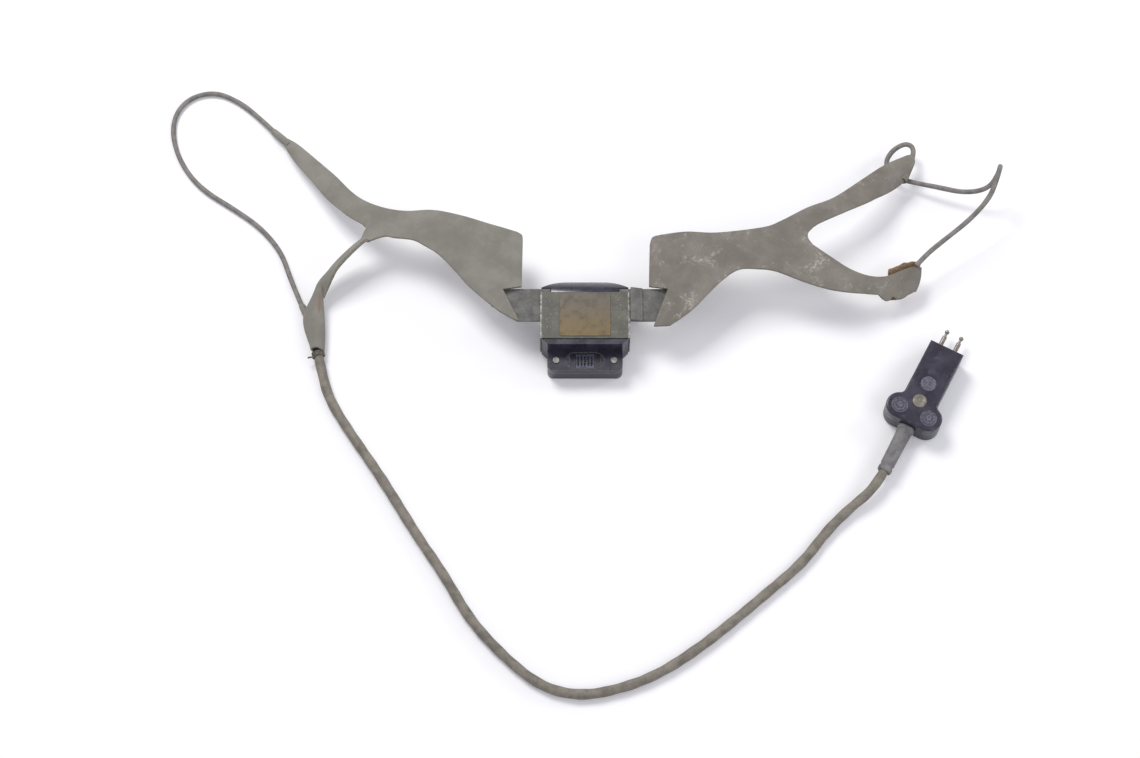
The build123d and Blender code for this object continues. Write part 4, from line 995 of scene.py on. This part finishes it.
def relief_mesh():
    """Moulded strain relief: a flattened sleeve with a rounded upper end, a rim and a stepped lower end."""
    middle = PLUG_THICKNESS / 2
    squareness = 0.68
    sections = [  # distance back from the plug's end, half width, half height
        (-0.5, 2.6, 2.0), (-0.2, 3.1, 2.6), (0.3, 3.45, 3.0), (0.9, 3.6, 3.2), (1.5, 3.55, 3.15),
        (2.0, 3.3, 2.85), (2.6, 3.2, 2.6), (4.0, 3.15, 2.55), (10.0, 3.0, 2.5), (18.0, 2.9, 2.45),
        (18.4, 2.9, 2.45), (18.7, 2.65, 2.3), (19.5, 2.6, 2.25), (20.2, 2.95, 2.45), (21.4, 2.9, 2.45),
        (21.9, 2.5, 2.25), (22.0, 2.1, 2.05),
    ]
    rows = []
    for back, half_w, half_h in sections:
        row = []
        for k in range(32):
            angle = 2 * pi * k / 32
            across = half_w * abs(cos(angle)) ** squareness * (1 if cos(angle) >= 0 else -1)
            upright = half_h * abs(sin(angle)) ** squareness * (1 if sin(angle) >= 0 else -1)
            row.append(plug_point(across, -PLUG_LENGTH - back, middle + upright) * MM)
        rows.append(row)
    return skin(rows)


relief = link("strain_relief_rubber", relief_mesh(), [relief_rubber], 50)
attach(relief, "left_side")
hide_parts("strain_relief")


def tie_mesh():
    """Three turns of wire round the cord, with a cut end."""
    start, heading = main_line[0], (main_line[2] - main_line[0]).normalized()
    level = heading.cross(Vector((0, 0, 1))).normalized()
    upright = level.cross(heading)
    coil = []
    for k in range(60):
        angle = 2 * pi * k / 19
        coil.append(start + heading * (0.5 + k * 0.032) * MM
                    + (CORD_DIAMETER / 2 + 0.42 * MM) * (cos(angle) * level + sin(angle) * upright))
    cut = coil[-1]
    tail = [cut + level * 1.2 * MM - heading * 0.1 * MM, cut + level * 2.6 * MM + upright * 0.2 * MM]
    return tube(coil + tail, lambda distance, angle: 0.36 * MM, 10)


tie = link("cord_tie_wire", tie_mesh(), [tie_wire], 60)
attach(tie, "left_side")
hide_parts("cord_tie")


# -------- table, light and backdrop
def light_path_mix(tree, seen, unseen, target):
    """Feed target with seen for camera rays, and unseen for the rest."""
    path = tree.nodes.new("ShaderNodeLightPath")
    mix = tree.nodes.new("ShaderNodeMixShader")
    tree.links.new(path.outputs["Is Camera Ray"], mix.inputs[0])
    tree.links.new(unseen, mix.inputs[1])
    tree.links.new(seen, mix.inputs[2])
    tree.links.new(mix.outputs[0], target)


def make_floor():
    """Pale table top. Where the camera sees it, a faint glow brings it near white outside the shadows."""
    mesh = bpy.data.meshes.new("table_top")
    half = FLOOR_HALF
    low = -FLOOR_DROP
    mesh.from_pydata([(-half, -half, low), (half, -half, low), (half, half, low), (-half, half, low)], [],
                     [(0, 1, 2, 3)])
    floor = bpy.data.objects.new("table_top", mesh)
    bpy.context.collection.objects.link(floor)
    material = bpy.data.materials.new("table_paper")
    material.use_nodes = True
    tree = material.node_tree
    tree.nodes.clear()
    out = tree.nodes.new("ShaderNodeOutputMaterial")
    paper = tree.nodes.new("ShaderNodeBsdfDiffuse")
    paper.inputs["Color"].default_value = (0.86, 0.86, 0.87, 1)
    glow = tree.nodes.new("ShaderNodeEmission")
    glow.inputs["Color"].default_value = (0.96, 0.94, 1.0, 1)
    glow.inputs["Strength"].default_value = 0.10
    both = tree.nodes.new("ShaderNodeAddShader")
    tree.links.new(paper.outputs[0], both.inputs[0])
    tree.links.new(glow.outputs[0], both.inputs[1])
    light_path_mix(tree, both.outputs[0], paper.outputs[0], out.inputs["Surface"])
    mesh.materials.append(material)


def make_world():
    """Even pale room light, white where the camera sees it."""
    world = bpy.data.worlds.new("room")
    bpy.context.scene.world = world
    world.use_nodes = True
    tree = world.node_tree
    tree.nodes.clear()
    out = tree.nodes.new("ShaderNodeOutputWorld")
    room = tree.nodes.new("ShaderNodeBackground")
    room.inputs["Color"].default_value = (0.93, 0.93, 1.0, 1)
    room.inputs["Strength"].default_value = 0.55
    white = tree.nodes.new("ShaderNodeBackground")
    white.inputs["Color"].default_value = (1, 1, 1, 1)
    white.inputs["Strength"].default_value = 1.0
    light_path_mix(tree, white.outputs[0], room.outputs[0], out.inputs["Surface"])


def soft_light(name, place, size, power, colour=(1, 1, 1)):
    """Square area light that faces the frame's origin."""
    data = bpy.data.lights.new(name, "AREA")
    data.size = size
    data.energy = power
    data.color = colour
    lamp = bpy.data.objects.new(name, data)
    bpy.context.collection.objects.link(lamp)
    lamp.location = place
    lamp.rotation_euler = (-Vector(place)).to_track_quat("-Z", "Y").to_euler()


make_floor()
make_world()
for lamp in LAMPS:
    soft_light(*lamp)
bpy.context.scene.view_settings.view_transform = "Standard"
